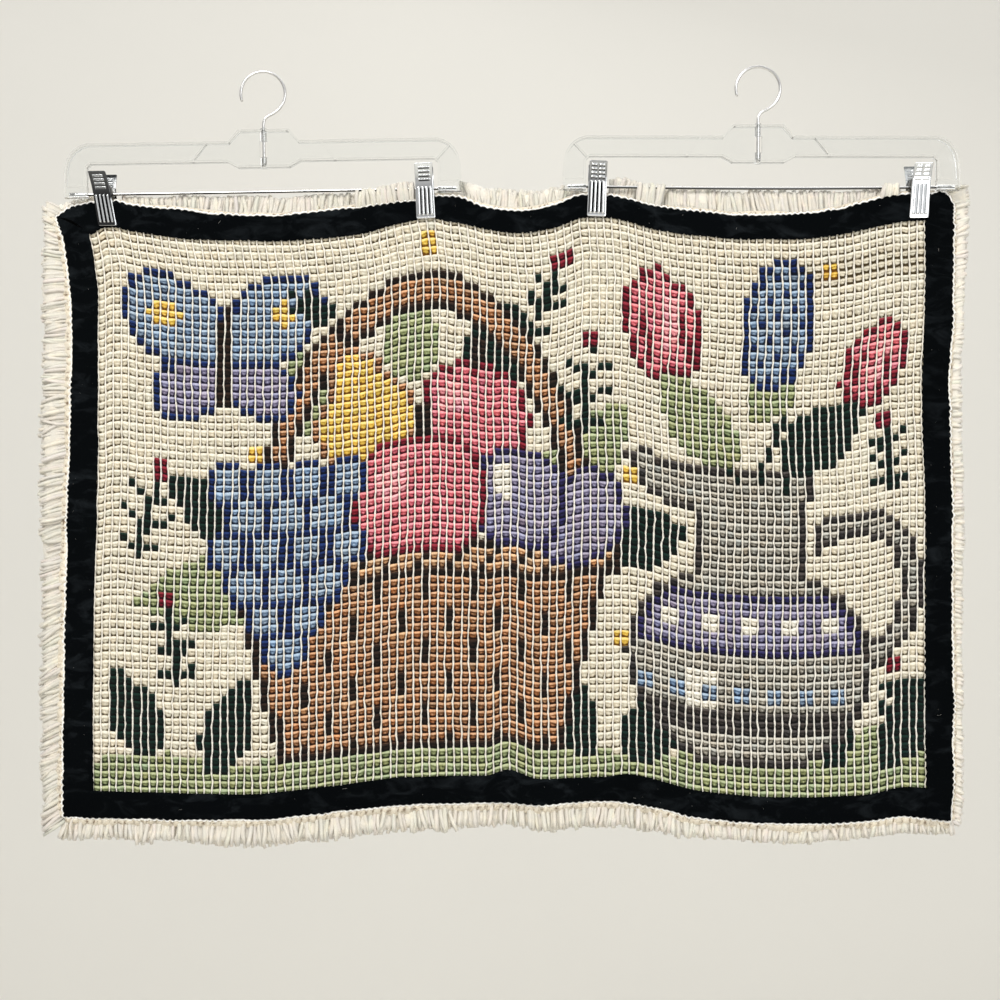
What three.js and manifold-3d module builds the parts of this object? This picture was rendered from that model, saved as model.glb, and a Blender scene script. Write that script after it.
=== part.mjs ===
// Latch hook rug on two clear clip hangers, in mm. X is to the right, Z is up, and -Y is the canvas side, which faces the room.
// The pile hangs behind the canvas, towards the wall. Every size is built in panel coordinates and the whole part is moved to the centre of its box at the end.
import * as THREE from "three";
import { mergeVertices } from "three/addons/utils/BufferGeometryUtils.js";
import Module from "manifold-3d";

const wasm = await Module();
wasm.setup();

// ---- driving sizes -------------------------------------------------------
const GAP = 0.3; // between any two pieces
const CANVAS_THICK = 3.0; // warps with the knot backs round them
const TAPE_THICK = 1.2;
const PILE_THICK = 20; // cut ends, combed flat by their own weight
const PILE_PRESSED = 3.0; // in a clip's jaws
const MESHES = { across: 112, down: 78 };
const UNDER_TAPE = { across: 4, down: 3.5 }; // meshes that the tape covers at each edge

const HANGER = {
  half: 170, // half its length
  armInner: 150.3, // the arm's inner face
  armFoot: -2.7, // the end block's underside, from the rod
  blockTop: 6.6,
  beamLow: 25.5, // the beam's underside, from the rod
  web: 2.0, // thickness of the flat web
  flange: 1.8,
  flangeDeep: 9, // front to back
  ribThick: 1.5,
  collarRadius: 2.7, // two collars hold the hook's stem, with a window between them
  windowHalf: 3.4,
  dipLow: 20.5, // the beam's underside at the collars
};
const COLLARS = [
  { low: 19.6, high: 29.1 },
  { low: 43, high: 54.2 },
];
const ROD_RADIUS = 1.3;
const BORE_SLACK = 0.35;
const HOOK = { wire: 1.25, foot: 21.5, neck: 57, centre: 84, radius: 19, ease: 0.45 };

const CLIP = {
  thumbHalf: 7.6, // half its width at the thumb end
  gripHalf: 8.2, // and at the grip
  sheet: 1.2,
  ribWide: 1.8,
  ribProud: 0.9,
  frontEar: 7.2, // middle of each front ear, from the clip's middle
  backEar: 5.7,
  earRadius: 4.2,
};
const SPRING = { half: 4.0, inner: 1.7, outer: 3.0, turns: 5 };

// ---- tables: a row for each place where an edge or a fold turns --------------
// Outer edges of the rug, and how wide the tape is there.
const TOP_EDGE = [
  { x: -385.2, z: 243.0, tape: 26.0 },
  { x: -367.7, z: 252.0, tape: 26.0 },
  { x: -353.9, z: 253.9, tape: 26.0 },
  { x: -344.5, z: 254.4, tape: 21.6 },
  { x: -334.8, z: 254.6, tape: 21.4 },
  { x: -318.5, z: 251.2, tape: 21.5 },
  { x: -274.8, z: 247.1, tape: 24.0 },
  { x: -229.7, z: 242.3, tape: 21.1 },
  { x: -198.4, z: 242.0, tape: 20.9 },
  { x: -175.3, z: 243.8, tape: 21.8 },
  { x: -130.2, z: 249.1, tape: 22.4 },
  { x: -76.9, z: 256.0, tape: 16.5 },
  { x: -59.1, z: 259.4, tape: 18.6 },
  { x: -44.1, z: 259.0, tape: 21.0 },
  { x: -14.1, z: 249.8, tape: 18.0 },
  { x: 13.3, z: 247.1, tape: 18.3 },
  { x: 39.0, z: 251.2, tape: 19.0 },
  { x: 70.4, z: 260.8, tape: 18.4 },
  { x: 89.6, z: 259.7, tape: 18.3 },
  { x: 134.6, z: 249.8, tape: 19.8 },
  { x: 156.4, z: 246.8, tape: 20.0 },
  { x: 209.8, z: 242.7, tape: 20.2 },
  { x: 236.1, z: 242.7, tape: 20.7 },
  { x: 278.1, z: 246.3, tape: 21.4 },
  { x: 341.9, z: 260.7, tape: 23.7 },
  { x: 359.9, z: 261.4, tape: 21.7 },
  { x: 368.0, z: 261.8, tape: 23.8 },
  { x: 373.0, z: 264.0, tape: 24.7 },
  { x: 380.4, z: 261.9, tape: 24.7 },
  { x: 385.2, z: 253.7, tape: 24.7 },
];
const BOTTOM_EDGE = [
  { x: -378.0, z: -271.7, tape: 22.8 },
  { x: -278.1, z: -272.5, tape: 21.8 },
  { x: -212.5, z: -272.4, tape: 21.4 },
  { x: -173.5, z: -268.8, tape: 21.3 },
  { x: -134.1, z: -264.8, tape: 22.0 },
  { x: -89.6, z: -261.3, tape: 23.2 },
  { x: -72.4, z: -260.5, tape: 23.0 },
  { x: -16.1, z: -259.7, tape: 22.7 },
  { x: 2.1, z: -259.3, tape: 27.6 },
  { x: 28.5, z: -261.9, tape: 22.2 },
  { x: 81.0, z: -258.0, tape: 20.7 },
  { x: 99.0, z: -258.0, tape: 22.0 },
  { x: 118.7, z: -260.5, tape: 23.6 },
  { x: 171.0, z: -271.7, tape: 22.7 },
  { x: 243.0, z: -275.7, tape: 22.0 },
  { x: 304.7, z: -274.2, tape: 22.3 },
  { x: 342.4, z: -270.0, tape: 24.4 },
  { x: 360.4, z: -272.2, tape: 25.4 },
  { x: 382.7, z: -275.1, tape: 25.4 },
];
const LEFT_EDGE = [
  { z: 243.0, x: -385.2, tape: 23.5 },
  { z: 225.4, x: -379.2, tape: 23.4 },
  { z: 186.8, x: -373.7, tape: 24.5 },
  { z: 143.1, x: -370.9, tape: 22.4 },
  { z: 102.8, x: -371.5, tape: 23.1 },
  { z: 37.3, x: -372.6, tape: 24.1 },
  { z: -17.1, x: -374.8, tape: 25.1 },
  { z: -68.6, x: -375.4, tape: 24.1 },
  { z: -168.0, x: -377.6, tape: 24.9 },
  { z: -239.1, x: -378.0, tape: 25.4 },
  { z: -271.7, x: -378.0, tape: 25.4 },
];
const RIGHT_EDGE = [
  { z: 253.7, x: 385.2, tape: 25.3 },
  { z: 229.7, x: 385.2, tape: 25.0 },
  { z: 162.0, x: 384.4, tape: 24.2 },
  { z: 96.8, x: 380.9, tape: 23.8 },
  { z: -14.6, x: 383.5, tape: 23.0 },
  { z: -107.1, x: 383.5, tape: 23.1 },
  { z: -168.0, x: 384.4, tape: 24.0 },
  { z: -240.0, x: 384.4, tape: 23.1 },
  { z: -275.1, x: 382.7, tape: 22.0 },
];
// The inner corners of the tape.
const INNER = {
  left: { top: -356.5, bottom: -352.7 },
  right: { top: 359.9, bottom: 360.8 },
  top: { left: 227.5, right: 239.7 },
  bottom: { left: -249.0, right: -246.8 },
};
// How far the pile stands out past each edge.
const PILE_TOP = [
  { x: -385, out: 8 },
  { x: -310, out: 10 },
  { x: -227, out: 19 },
  { x: -175, out: 17 },
  { x: -110, out: 16 },
  { x: -38, out: 19 },
  { x: 35, out: 17 },
  { x: 116, out: 19 },
  { x: 167, out: 22 },
  { x: 253, out: 22 },
  { x: 322, out: 11 },
  { x: 385, out: 7 },
];
const PILE_BOTTOM = [
  { x: -378, out: 19 },
  { x: -300, out: 21 },
  { x: -175, out: 24 },
  { x: 100, out: 23 },
  { x: 168, out: 19 },
  { x: 345, out: 17 },
  { x: 383, out: 15.5 },
];
const PILE_LEFT = [
  { z: 243, out: 15 },
  { z: 170, out: 27 },
  { z: 37, out: 27 },
  { z: -70, out: 23.5 },
  { z: -170, out: 22 },
  { z: -272, out: 20 },
];
const PILE_RIGHT = [
  { z: 254, out: 15 },
  { z: 158, out: 12 },
  { z: -15, out: 12 },
  { z: -120, out: 10.5 },
  { z: -275, out: 10 },
];
// How far the canvas stands towards the wall (+) or the room (-), down from the top edge.
const FOLDS = [
  { x: -386, top: 7.2, middle: 4.5, bottom: 5.0 },
  { x: -360, top: 3.6, middle: 2.0, bottom: 2.5 },
  { x: -300, top: -4.0, middle: -2.5, bottom: -2.0 },
  { x: -235, top: -4.5, middle: -5.0, bottom: -6.0 },
  { x: -175, top: -3.5, middle: -4.5, bottom: -5.0 },
  { x: -110, top: -0.8, middle: -1.0, bottom: 0.5 },
  { x: -35, top: 0.6, middle: 2.5, bottom: 5.5 },
  { x: 5, top: 2.4, middle: 4.0, bottom: 7.0 },
  { x: 45, top: 0.8, middle: 3.0, bottom: 5.5 },
  { x: 125, top: -1.5, middle: -0.5, bottom: 0.5 },
  { x: 190, top: -3.8, middle: -4.0, bottom: -5.0 },
  { x: 250, top: -4.5, middle: -5.5, bottom: -6.5 },
  { x: 315, top: -4.0, middle: -3.5, bottom: -3.0 },
  { x: 386, top: 6.2, middle: 3.5, bottom: 4.5 },
];
const FLAT_BELOW_TOP = 34; // the jaws hold this much of the canvas flat
// The two hangers: middle of the rod, tilt, the rod's sag, and how far the collars stand from the middle.
const HANGERS = [
  { name: "left", x: -207.0, z: 264.4, tilt: 1.0, sag: 0.2, stem: 1.3 },
  { name: "right", x: 220.0, z: 268.6, tilt: -0.1, sag: 1.4, stem: -2.7 },
];
// The four clips: place on the rod, lean in the plane of the rug, turn about the upright, width against CLIP's, and pattern of the thumb end.
const CLIPS = [
  { hanger: 0, x: -342.8, lean: 9.3, turn: -11.3, wide: 1, look: "bars" },
  { hanger: 0, x: -68.4, lean: 2.6, turn: 0, wide: 1, look: "bars" },
  { hanger: 1, x: 79.5, lean: -2.0, turn: 0, wide: 1, look: "pads" },
  { hanger: 1, x: 354.7, lean: -2.9, turn: 11.3, wide: 1.08, look: "pads" },
];
// Inner face of a front jaw from the rod, from the grip up to the thumb end.
const JAW = [
  { z: -26.0, y: -4.5 },
  { z: -24.7, y: -4.2 },
  { z: -21.5, y: -4.5 },
  { z: -12.0, y: -5.1 },
  { z: -4.0, y: -5.5 },
  { z: 3.5, y: -5.9 },
  { z: 18.5, y: -9.9 },
  { z: 20.6, y: -10.9 },
];
const UPRIGHT_RIBS = { at: [-5.3, -1.77, 1.77, 5.3], low: -23.2 };
const CROSS_RIBS = { at: [6.9, 10.2, 13.5, 16.8], tall: 1.9 };
// The two patterns: one broad bar or two pads in each row, and how high the upright ribs reach.
const LOOKS = {
  bars: { middles: [0], half: 5.2, ribTop: 1.0 },
  pads: { middles: [-3.5, 3.5], half: 2.7, ribTop: 4.2 },
};
// The hanger's outside, from the middle of the top round to the arm's foot.
const HANGER_OUTSIDE = [
  { x: 19, z: 53 },
  { x: 22, z: 52.6 },
  { x: 30, z: 43.2 },
  { x: 150, z: 43.2 },
  { x: 156, z: 41.4 },
  { x: 161, z: 38.2 },
  { x: 164.6, z: 34.4 },
  { x: 167.4, z: 29.5 },
  { x: 169.2, z: 22 },
  { x: 169.9, z: 12 },
];
const HANGER_RIBS = [
  { x0: 49, z0: 42.4, x1: 61.5, z1: 26.5 },
  { x0: 160.8, z0: 37.6, x1: 149.6, z1: 25.5 },
];
const STEM_REACH = 70; // what is nearer the middle than this goes with the stem

// ---- small helpers -----------------------------------------------------------
const lerp = (a, b, t) => a + (b - a) * t;
const clamp = (v, low, high) => Math.min(high, Math.max(low, v));
const smooth = (t) => t * t * (3 - 2 * t);
const rad = THREE.MathUtils.degToRad;

// A smooth line through a table's rows that never overshoots them.
function line(rows, along, value) {
  const sorted = [...rows].sort((a, b) => a[along] - b[along]);
  const x = sorted.map((r) => r[along]);
  const y = sorted.map((r) => r[value]);
  const h = x.slice(1).map((v, i) => v - x[i]);
  const d = h.map((v, i) => (y[i + 1] - y[i]) / v);
  const m = x.map((_, i) => {
    if (i === 0) return d[0];
    if (i === x.length - 1) return d[i - 1];
    if (d[i - 1] * d[i] <= 0) return 0;
    const a = 2 * h[i] + h[i - 1];
    const b = h[i] + 2 * h[i - 1];
    return (a + b) / (a / d[i - 1] + b / d[i]);
  });
  return (at) => {
    const v = clamp(at, x[0], x[x.length - 1]);
    let i = 0;
    while (i < h.length - 1 && v > x[i + 1]) i++;
    const t = (v - x[i]) / h[i];
    const t2 = t * t;
    const t3 = t2 * t;
    return (
      (2 * t3 - 3 * t2 + 1) * y[i] +
      (t3 - 2 * t2 + t) * h[i] * m[i] +
      (-2 * t3 + 3 * t2) * y[i + 1] +
      (t3 - t2) * h[i] * m[i + 1]
    );
  };
}

function solid(geometry) {
  const g = geometry.clone();
  g.deleteAttribute("normal");
  g.deleteAttribute("uv");
  const merged = mergeVertices(g, 1e-4);
  return new wasm.Manifold(
    new wasm.Mesh({
      numProp: 3,
      vertProperties: new Float32Array(merged.attributes.position.array),
      triVerts: new Uint32Array(merged.index.array),
    }),
  );
}

function geometryOf(made) {
  const mesh = made.getMesh();
  const g = new THREE.BufferGeometry();
  g.setAttribute("position", new THREE.Float32BufferAttribute(mesh.vertProperties, 3));
  g.setIndex(new THREE.Uint32BufferAttribute(mesh.triVerts, 1));
  return g;
}

const union = (parts) => wasm.Manifold.union(parts);

// A flat outline, drawn in y and z, run along x.
function prismX(points, x0, x1) {
  const shape = new THREE.Shape(points.map((p) => new THREE.Vector2(p.y, p.z)));
  const g = new THREE.ExtrudeGeometry(shape, { depth: x1 - x0, bevelEnabled: false });
  g.applyMatrix4(
    new THREE.Matrix4().makeBasis(
      new THREE.Vector3(0, 1, 0),
      new THREE.Vector3(0, 0, 1),
      new THREE.Vector3(1, 0, 0),
    ),
  );
  g.translate(x0, 0, 0);
  return solid(g);
}

// A flat outline, drawn in x and z, run along y to equal depths front and back.
function prismY(points, deep) {
  const shape = new THREE.Shape(points.map((p) => new THREE.Vector2(p.x, p.z)));
  const g = new THREE.ExtrudeGeometry(shape, { depth: deep, bevelEnabled: false });
  g.applyMatrix4(
    new THREE.Matrix4().makeBasis(
      new THREE.Vector3(1, 0, 0),
      new THREE.Vector3(0, 0, 1),
      new THREE.Vector3(0, -1, 0),
    ),
  );
  g.translate(0, deep / 2, 0);
  return solid(g);
}

function cylinderX(radius, x0, x1, sides = 16) {
  const g = new THREE.CylinderGeometry(radius, radius, x1 - x0, sides);
  g.rotateZ(-Math.PI / 2);
  g.translate((x0 + x1) / 2, 0, 0);
  return solid(g);
}

function cylinderZ(radius, z0, z1, sides = 16) {
  const g = new THREE.CylinderGeometry(radius, radius, z1 - z0, sides);
  g.rotateX(Math.PI / 2);
  g.translate(0, 0, (z0 + z1) / 2);
  return solid(g);
}

// A closed round bar along a path.
function bar(path, radius, steps, sides) {
  const ring = new THREE.Shape(
    Array.from({ length: sides }, (_, k) => {
      const a = (2 * Math.PI * k) / sides;
      return new THREE.Vector2(radius * Math.cos(a), radius * Math.sin(a));
    }),
  );
  return new THREE.ExtrudeGeometry(ring, { steps, bevelEnabled: false, extrudePath: path });
}

// A closed cushion between two grids of points: front[i][j] faces the room and back[i][j] the wall.
function cushion(front, back) {
  const across = front.length;
  const down = front[0].length;
  const position = [];
  const index = [];
  const at = (face, i, j) => (face * across + i) * down + j;
  for (const face of [front, back])
    for (const column of face) for (const p of column) position.push(p.x, p.y, p.z);
  const quad = (a, b, c, d) => index.push(a, b, c, a, c, d);
  for (let i = 0; i < across - 1; i++)
    for (let j = 0; j < down - 1; j++) {
      quad(at(0, i, j), at(0, i, j + 1), at(0, i + 1, j + 1), at(0, i + 1, j));
      quad(at(1, i, j), at(1, i + 1, j), at(1, i + 1, j + 1), at(1, i, j + 1));
    }
  for (let i = 0; i < across - 1; i++) {
    quad(at(0, i, 0), at(0, i + 1, 0), at(1, i + 1, 0), at(1, i, 0));
    quad(at(0, i + 1, down - 1), at(0, i, down - 1), at(1, i, down - 1), at(1, i + 1, down - 1));
  }
  for (let j = 0; j < down - 1; j++) {
    quad(at(0, 0, j + 1), at(0, 0, j), at(1, 0, j), at(1, 0, j + 1));
    quad(at(0, across - 1, j), at(0, across - 1, j + 1), at(1, across - 1, j + 1), at(1, across - 1, j));
  }
  const g = new THREE.BufferGeometry();
  g.setAttribute("position", new THREE.Float32BufferAttribute(position, 3));
  g.setIndex(index);
  return g;
}

// ---- the rug's surface ---------------------------------------------------------
const topZ = line(TOP_EDGE, "x", "z");
const topTape = line(TOP_EDGE, "x", "tape");
const bottomZ = line(BOTTOM_EDGE, "x", "z");
const bottomTape = line(BOTTOM_EDGE, "x", "tape");
const leftX = line(LEFT_EDGE, "z", "x");
const leftTape = line(LEFT_EDGE, "z", "tape");
const rightX = line(RIGHT_EDGE, "z", "x");
const rightTape = line(RIGHT_EDGE, "z", "tape");

const clipRows = CLIPS.flatMap((c) =>
  [-14.5, -10, 0, 10, 14.5].map((dx) => ({ x: c.x + dx, top: dx * Math.tan(rad(c.turn)) })),
);
const clear = (r) => CLIPS.every((c) => Math.abs(c.x - r.x) > 15);
const foldTop = line([...FOLDS.filter(clear), ...clipRows], "x", "top");
const foldMiddle = line(FOLDS, "x", "middle");
const foldBottom = line(FOLDS, "x", "bottom");

// Where the canvas stands in y at a place in the plane of the rug.
function depth(x, z) {
  const high = topZ(x);
  const low = bottomZ(x);
  const t = clamp((high - FLAT_BELOW_TOP - z) / (high - FLAT_BELOW_TOP - low), 0, 1);
  if (t < 0.5) return lerp(foldTop(x), foldMiddle(x), smooth(t * 2));
  return lerp(foldMiddle(x), foldBottom(x), smooth(t * 2 - 1));
}

const I = [0, UNDER_TAPE.across, MESHES.across - UNDER_TAPE.across, MESHES.across];
const J = [0, UNDER_TAPE.down, MESHES.down - UNDER_TAPE.down, MESHES.down];
const stretch = (marks, values, v) => {
  const k = v < marks[1] ? 0 : v < marks[2] ? 1 : 2;
  return lerp(values[k], values[k + 1], (v - marks[k]) / (marks[k + 1] - marks[k]));
};
const between = (a, b, t) => ({ x: lerp(a.x, b.x, t), z: lerp(a.z, b.z, t) });
const TOP_X = [TOP_EDGE[0].x, INNER.left.top, INNER.right.top, TOP_EDGE.at(-1).x];
const BOTTOM_X = [BOTTOM_EDGE[0].x, INNER.left.bottom, INNER.right.bottom, BOTTOM_EDGE.at(-1).x];
const LEFT_Z = [LEFT_EDGE[0].z, INNER.top.left, INNER.bottom.left, LEFT_EDGE.at(-1).z];
const RIGHT_Z = [RIGHT_EDGE[0].z, INNER.top.right, INNER.bottom.right, RIGHT_EDGE.at(-1).z];

const outerTop = (i) => {
  const x = stretch(I, TOP_X, i);
  return { x, z: topZ(x) };
};
const outerBottom = (i) => {
  const x = stretch(I, BOTTOM_X, i);
  return { x, z: bottomZ(x) };
};
const outerLeft = (j) => {
  const z = stretch(J, LEFT_Z, j);
  return { x: leftX(z), z };
};
const outerRight = (j) => {
  const z = stretch(J, RIGHT_Z, j);
  return { x: rightX(z), z };
};
const innerTopAt = (i) => {
  const x = stretch(I, TOP_X, i);
  return { x, z: topZ(x) - topTape(x) };
};
const innerBottomAt = (i) => {
  const x = stretch(I, BOTTOM_X, i);
  return { x, z: bottomZ(x) + bottomTape(x) };
};
const innerLeftAt = (j) => {
  const z = stretch(J, LEFT_Z, j);
  return { x: leftX(z) + leftTape(z), z };
};
const innerRightAt = (j) => {
  const z = stretch(J, RIGHT_Z, j);
  return { x: rightX(z) - rightTape(z), z };
};
const across = (middle, j) => (i) => {
  if (i < I[1]) return between(outerLeft(j), middle(I[1]), i / I[1]);
  if (i > I[2]) return between(middle(I[2]), outerRight(j), (i - I[2]) / (I[3] - I[2]));
  return middle(i);
};
const down = (middle, i) => (j) => {
  if (j < J[1]) return between(outerTop(i), middle(J[1]), j / J[1]);
  if (j > J[2]) return between(middle(J[2]), outerBottom(i), (j - J[2]) / (J[3] - J[2]));
  return middle(j);
};
const ROWS = [outerTop, across(innerTopAt, J[1]), across(innerBottomAt, J[2]), outerBottom];
const COLUMNS = [outerLeft, down(innerLeftAt, I[1]), down(innerRightAt, I[2]), outerRight];

// A place on the canvas, by mesh column i and mesh row j, blended from the four lines round it.
function place(i, j) {
  const a = i < I[1] ? 0 : i < I[2] ? 1 : 2;
  const b = j < J[1] ? 0 : j < J[2] ? 1 : 2;
  const s = (i - I[a]) / (I[a + 1] - I[a]);
  const t = (j - J[b]) / (J[b + 1] - J[b]);
  const high = ROWS[b](i);
  const low = ROWS[b + 1](i);
  const left = COLUMNS[a](j);
  const right = COLUMNS[a + 1](j);
  const c00 = ROWS[b](I[a]);
  const c10 = ROWS[b](I[a + 1]);
  const c01 = ROWS[b + 1](I[a]);
  const c11 = ROWS[b + 1](I[a + 1]);
  const mix = (k) =>
    lerp(high[k], low[k], t) +
    lerp(left[k], right[k], s) -
    lerp(lerp(c00[k], c10[k], s), lerp(c01[k], c11[k], s), t);
  const p = { x: mix("x"), z: mix("z") };
  p.y = depth(p.x, p.z);
  return p;
}
const meshColumn = (x) => {
  const k = x < TOP_X[1] ? 0 : x < TOP_X[2] ? 1 : 2;
  return lerp(I[k], I[k + 1], (x - TOP_X[k]) / (TOP_X[k + 1] - TOP_X[k]));
};

// Grid lines: even ones, the tape's inner edges, and each side of every clip.
const NOTCH = { flat: 11.2, side: 13.6, low: 12, back: 8 };
// The jaws' grip is to one side of the clip's middle if it leans or turns.
const GRIP_X = CLIPS.map((c) => c.x + NOTCH.low * Math.sin(rad(c.lean)) - NOTCH.back * Math.sin(rad(c.turn)));
const nearClip = (x) => GRIP_X.some((g) => Math.abs(g - x) < 20);
const evenColumns = Array.from({ length: 29 }, (_, k) => lerp(I[1], I[2], k / 28)).filter(
  (i) => !nearClip(stretch(I, TOP_X, i)),
);
const clipColumns = GRIP_X.flatMap((g) =>
  [-NOTCH.side, -NOTCH.flat, 0, NOTCH.flat, NOTCH.side].map((dx) => meshColumn(g + dx)),
);
const GRID_I = [...new Set([0, 1.4, 2.7, ...evenColumns, ...clipColumns, I[3]])].sort((a, b) => a - b);
const GRID_J = [0, 1.75, J[1], 4.1, 5.4, 10, 17, 25, 33, 41, 49, 57, 65, J[2], 76.2, J[3]];

const offset = (p, y) => ({ x: p.x, y: p.y + y, z: p.z });
const grid = (columns, rows, y) => columns.map((i) => rows.map((j) => offset(place(i, j), y)));

const canvas = cushion(
  grid(GRID_I, GRID_J, -CANVAS_THICK / 2),
  grid(GRID_I, GRID_J, CANVAS_THICK / 2),
);

// ---- binding tape ----------------------------------------------------------------
const TAPE_BACK = -CANVAS_THICK / 2 - GAP;
const TAPE_FRONT = TAPE_BACK - TAPE_THICK;
const JOIN = { from: -19, to: 34, rise: 1.0 }; // where the bottom tape's two ends lap
const MITRE = 0.12; // half the gap at a mitred corner, in meshes

// A length of tape over mesh columns and rows, a cell at a time, with mitred or square ends.
function tape(lines, widths, spot, raise) {
  const front = lines.map((k) => widths.map((w) => spot(k, w)));
  return cushion(
    front.map((c) => c.map((p) => offset(p, TAPE_FRONT - raise(p)))),
    front.map((c) => c.map((p) => offset(p, TAPE_BACK))),
  );
}
const WIDTHS = [0, 0.5, 1];
const flat = () => 0;
const inside = (marks, values) => values.filter((v) => v > marks[1] + 0.6 && v < marks[2] - 0.6);
const topEnds = (w) => [w * I[1] + MITRE, I[3] - w * I[1] - MITRE];
const midColumns = inside(I, GRID_I);
const midRows = inside(J, GRID_J);

const tapeTop = tape(
  [0, ...midColumns, 1],
  WIDTHS,
  (k, w) => place(k === 0 ? topEnds(w)[0] : k === 1 ? topEnds(w)[1] : k, w * J[1]),
  flat,
);
const tapeBottom = tape(
  [0, ...midColumns, 1],
  [...WIDTHS].reverse(),
  (k, w) =>
    place(k === 0 ? w * I[1] + MITRE : k === 1 ? I[2] - MITRE : k, J[3] - w * (J[3] - J[2])),
  (p) => {
    const t = clamp(Math.min(p.x - JOIN.from, JOIN.to - p.x) / 6, 0, 1);
    return JOIN.rise * smooth(t);
  },
);
const endRow = (w, k) => (k === 0 ? w * J[1] + MITRE : J[3] - w * (J[3] - J[2]) - MITRE);
// The side tapes are built by rows, so their columns run from the outer edge to the inner one.
function sideTape(outer, inner, squareFoot) {
  const across = outer < inner ? WIDTHS : [...WIDTHS].reverse();
  const rows = [0, ...midRows, 1];
  const spots = across.map((w) =>
    rows.map((k) => {
      const j = k === 1 && squareFoot ? J[3] : k === 0 || k === 1 ? endRow(w, k) : k;
      return place(lerp(outer, inner, w), j);
    }),
  );
  return cushion(
    spots.map((c) => c.map((p) => offset(p, TAPE_FRONT))),
    spots.map((c) => c.map((p) => offset(p, TAPE_BACK))),
  );
}
const tapeLeft = sideTape(I[0], I[1], false);
const tapeRight = sideTape(I[3], I[2] + MITRE, true);

// ---- pile --------------------------------------------------------------------------
const outTop = line(PILE_TOP, "x", "out");
const outBottom = line(PILE_BOTTOM, "x", "out");
const outLeft = line(PILE_LEFT, "z", "out");
const outRight = line(PILE_RIGHT, "z", "out");
const PILE_FRONT = CANVAS_THICK / 2 + GAP;
// Rings past the canvas edge: share of the overhang, front and back from the canvas.
const RINGS = [
  { share: 0.22, front: 2.6, back: 20 },
  { share: 0.7, front: 4.0, back: 18.5 },
  { share: 1, front: 7.5, back: 13 },
];
const TOP_RINGS = [
  { share: 0.14, front: 7.3, back: 20 },
  { share: 0.7, front: 8.8, back: 19 },
  { share: 1, front: 10.5, back: 15 },
];
const pressedAt = (x, j) => {
  const near = Math.min(...GRIP_X.map((g) => Math.abs(x - g)));
  const side = clamp((NOTCH.side - near) / (NOTCH.side - NOTCH.flat), 0, 1);
  const low = clamp((5.4 - j) / (5.4 - 4.1), 0, 1);
  return side * low;
};

// A pile point: mesh column and row, held to the canvas, plus a ring number past each edge.
function pilePoint(column, row) {
  const i = clamp(column.i, I[0], I[3]);
  const j = clamp(row.j, J[0], J[3]);
  const p = place(i, j);
  const sideRing = column.ring >= 0 ? RINGS[column.ring] : null;
  const endRing = row.ring >= 0 ? (row.j < 0 ? TOP_RINGS : RINGS)[row.ring] : null;
  const pressed = pressedAt(stretch(I, TOP_X, i), row.j < 0 ? 0 : j);
  let dx = 0;
  let dz = 0;
  if (sideRing) dx = sideRing.share * (column.i < 0 ? -outLeft(p.z) : outRight(p.z));
  if (endRing) dz = endRing.share * (row.j < 0 ? outTop(p.x) : -outBottom(p.x));
  if (row.j < 0) dz = lerp(dz, 0.3 * (row.ring + 1), pressed);
  const round = sideRing && endRing ? 1 - 0.22 * sideRing.share * endRing.share : 1;
  const front = Math.max(
    PILE_FRONT,
    sideRing ? sideRing.front : 0,
    endRing && pressed < 1 ? lerp(endRing.front, PILE_FRONT, pressed) : 0,
  );
  const back = Math.min(
    PILE_FRONT + PILE_THICK,
    sideRing ? sideRing.back : 99,
    endRing ? endRing.back : 99,
  );
  const pressedBack = PILE_FRONT + PILE_PRESSED;
  const spot = { x: p.x + dx * round, y: p.y, z: p.z + dz * round };
  return {
    front: offset(spot, front),
    back: offset(spot, lerp(Math.max(back, front + 2), pressedBack, pressed)),
  };
}
const ringed = (values, low, high) => [
  ...[2, 1, 0].map((ring) => ({ at: low - 1, ring })),
  ...values.map((at) => ({ at, ring: -1 })),
  ...[0, 1, 2].map((ring) => ({ at: high + 1, ring })),
];
const pileColumns = ringed(GRID_I, I[0], I[3]).map((c) => ({ i: c.at, ring: c.ring }));
const pileRows = ringed(GRID_J, J[0], J[3]).map((r) => ({ j: r.at, ring: r.ring }));
const pilePoints = pileColumns.map((c) => pileRows.map((r) => pilePoint(c, r)));
const pileWhole = cushion(
  pilePoints.map((c) => c.map((p) => p.front)),
  pilePoints.map((c) => c.map((p) => p.back)),
);

// ---- hangers -------------------------------------------------------------------------
const MID_Y = (PILE_FRONT + PILE_PRESSED + TAPE_FRONT) / 2; // halfway between the tape's face and the pressed pile's back

const hangerOutside = [...HANGER_OUTSIDE, { x: HANGER.half, z: HANGER.armFoot }];
const hangerInside = [
  { x: HANGER.armInner, z: HANGER.armFoot },
  { x: HANGER.armInner, z: HANGER.beamLow - 3 },
  { x: HANGER.armInner - 3, z: HANGER.beamLow },
  { x: 31.5, z: HANGER.beamLow },
  { x: 22, z: HANGER.dipLow },
];
// Moves the middle of a run of points along the beam to stand round the stem.
const withStem = (points, stem) => points.map((p) => (Math.abs(p.x) < STEM_REACH ? { x: p.x + stem, z: p.z } : p));

// A flange along a run of outline points, laid inwards.
function flange(points, inward, deep) {
  const inner = points.map((p, k) => {
    const a = points[Math.max(0, k - 1)];
    const b = points[Math.min(points.length - 1, k + 1)];
    const dx = b.x - a.x;
    const dz = b.z - a.z;
    const size = Math.hypot(dx, dz);
    return { x: p.x + (inward * dz * HANGER.flange) / size, z: p.z - (inward * dx * HANGER.flange) / size };
  });
  return prismY([...points, ...inner.reverse()], deep);
}

// The rod's height and slope in its hanger: straight in the end blocks and sagging between them.
const rodLine = (h, x) => -h.sag * Math.max(0, 1 - (x / HANGER.armInner) ** 2);
const rodSlope = (h, x) => (2 * h.sag * x) / HANGER.armInner ** 2;

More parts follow.
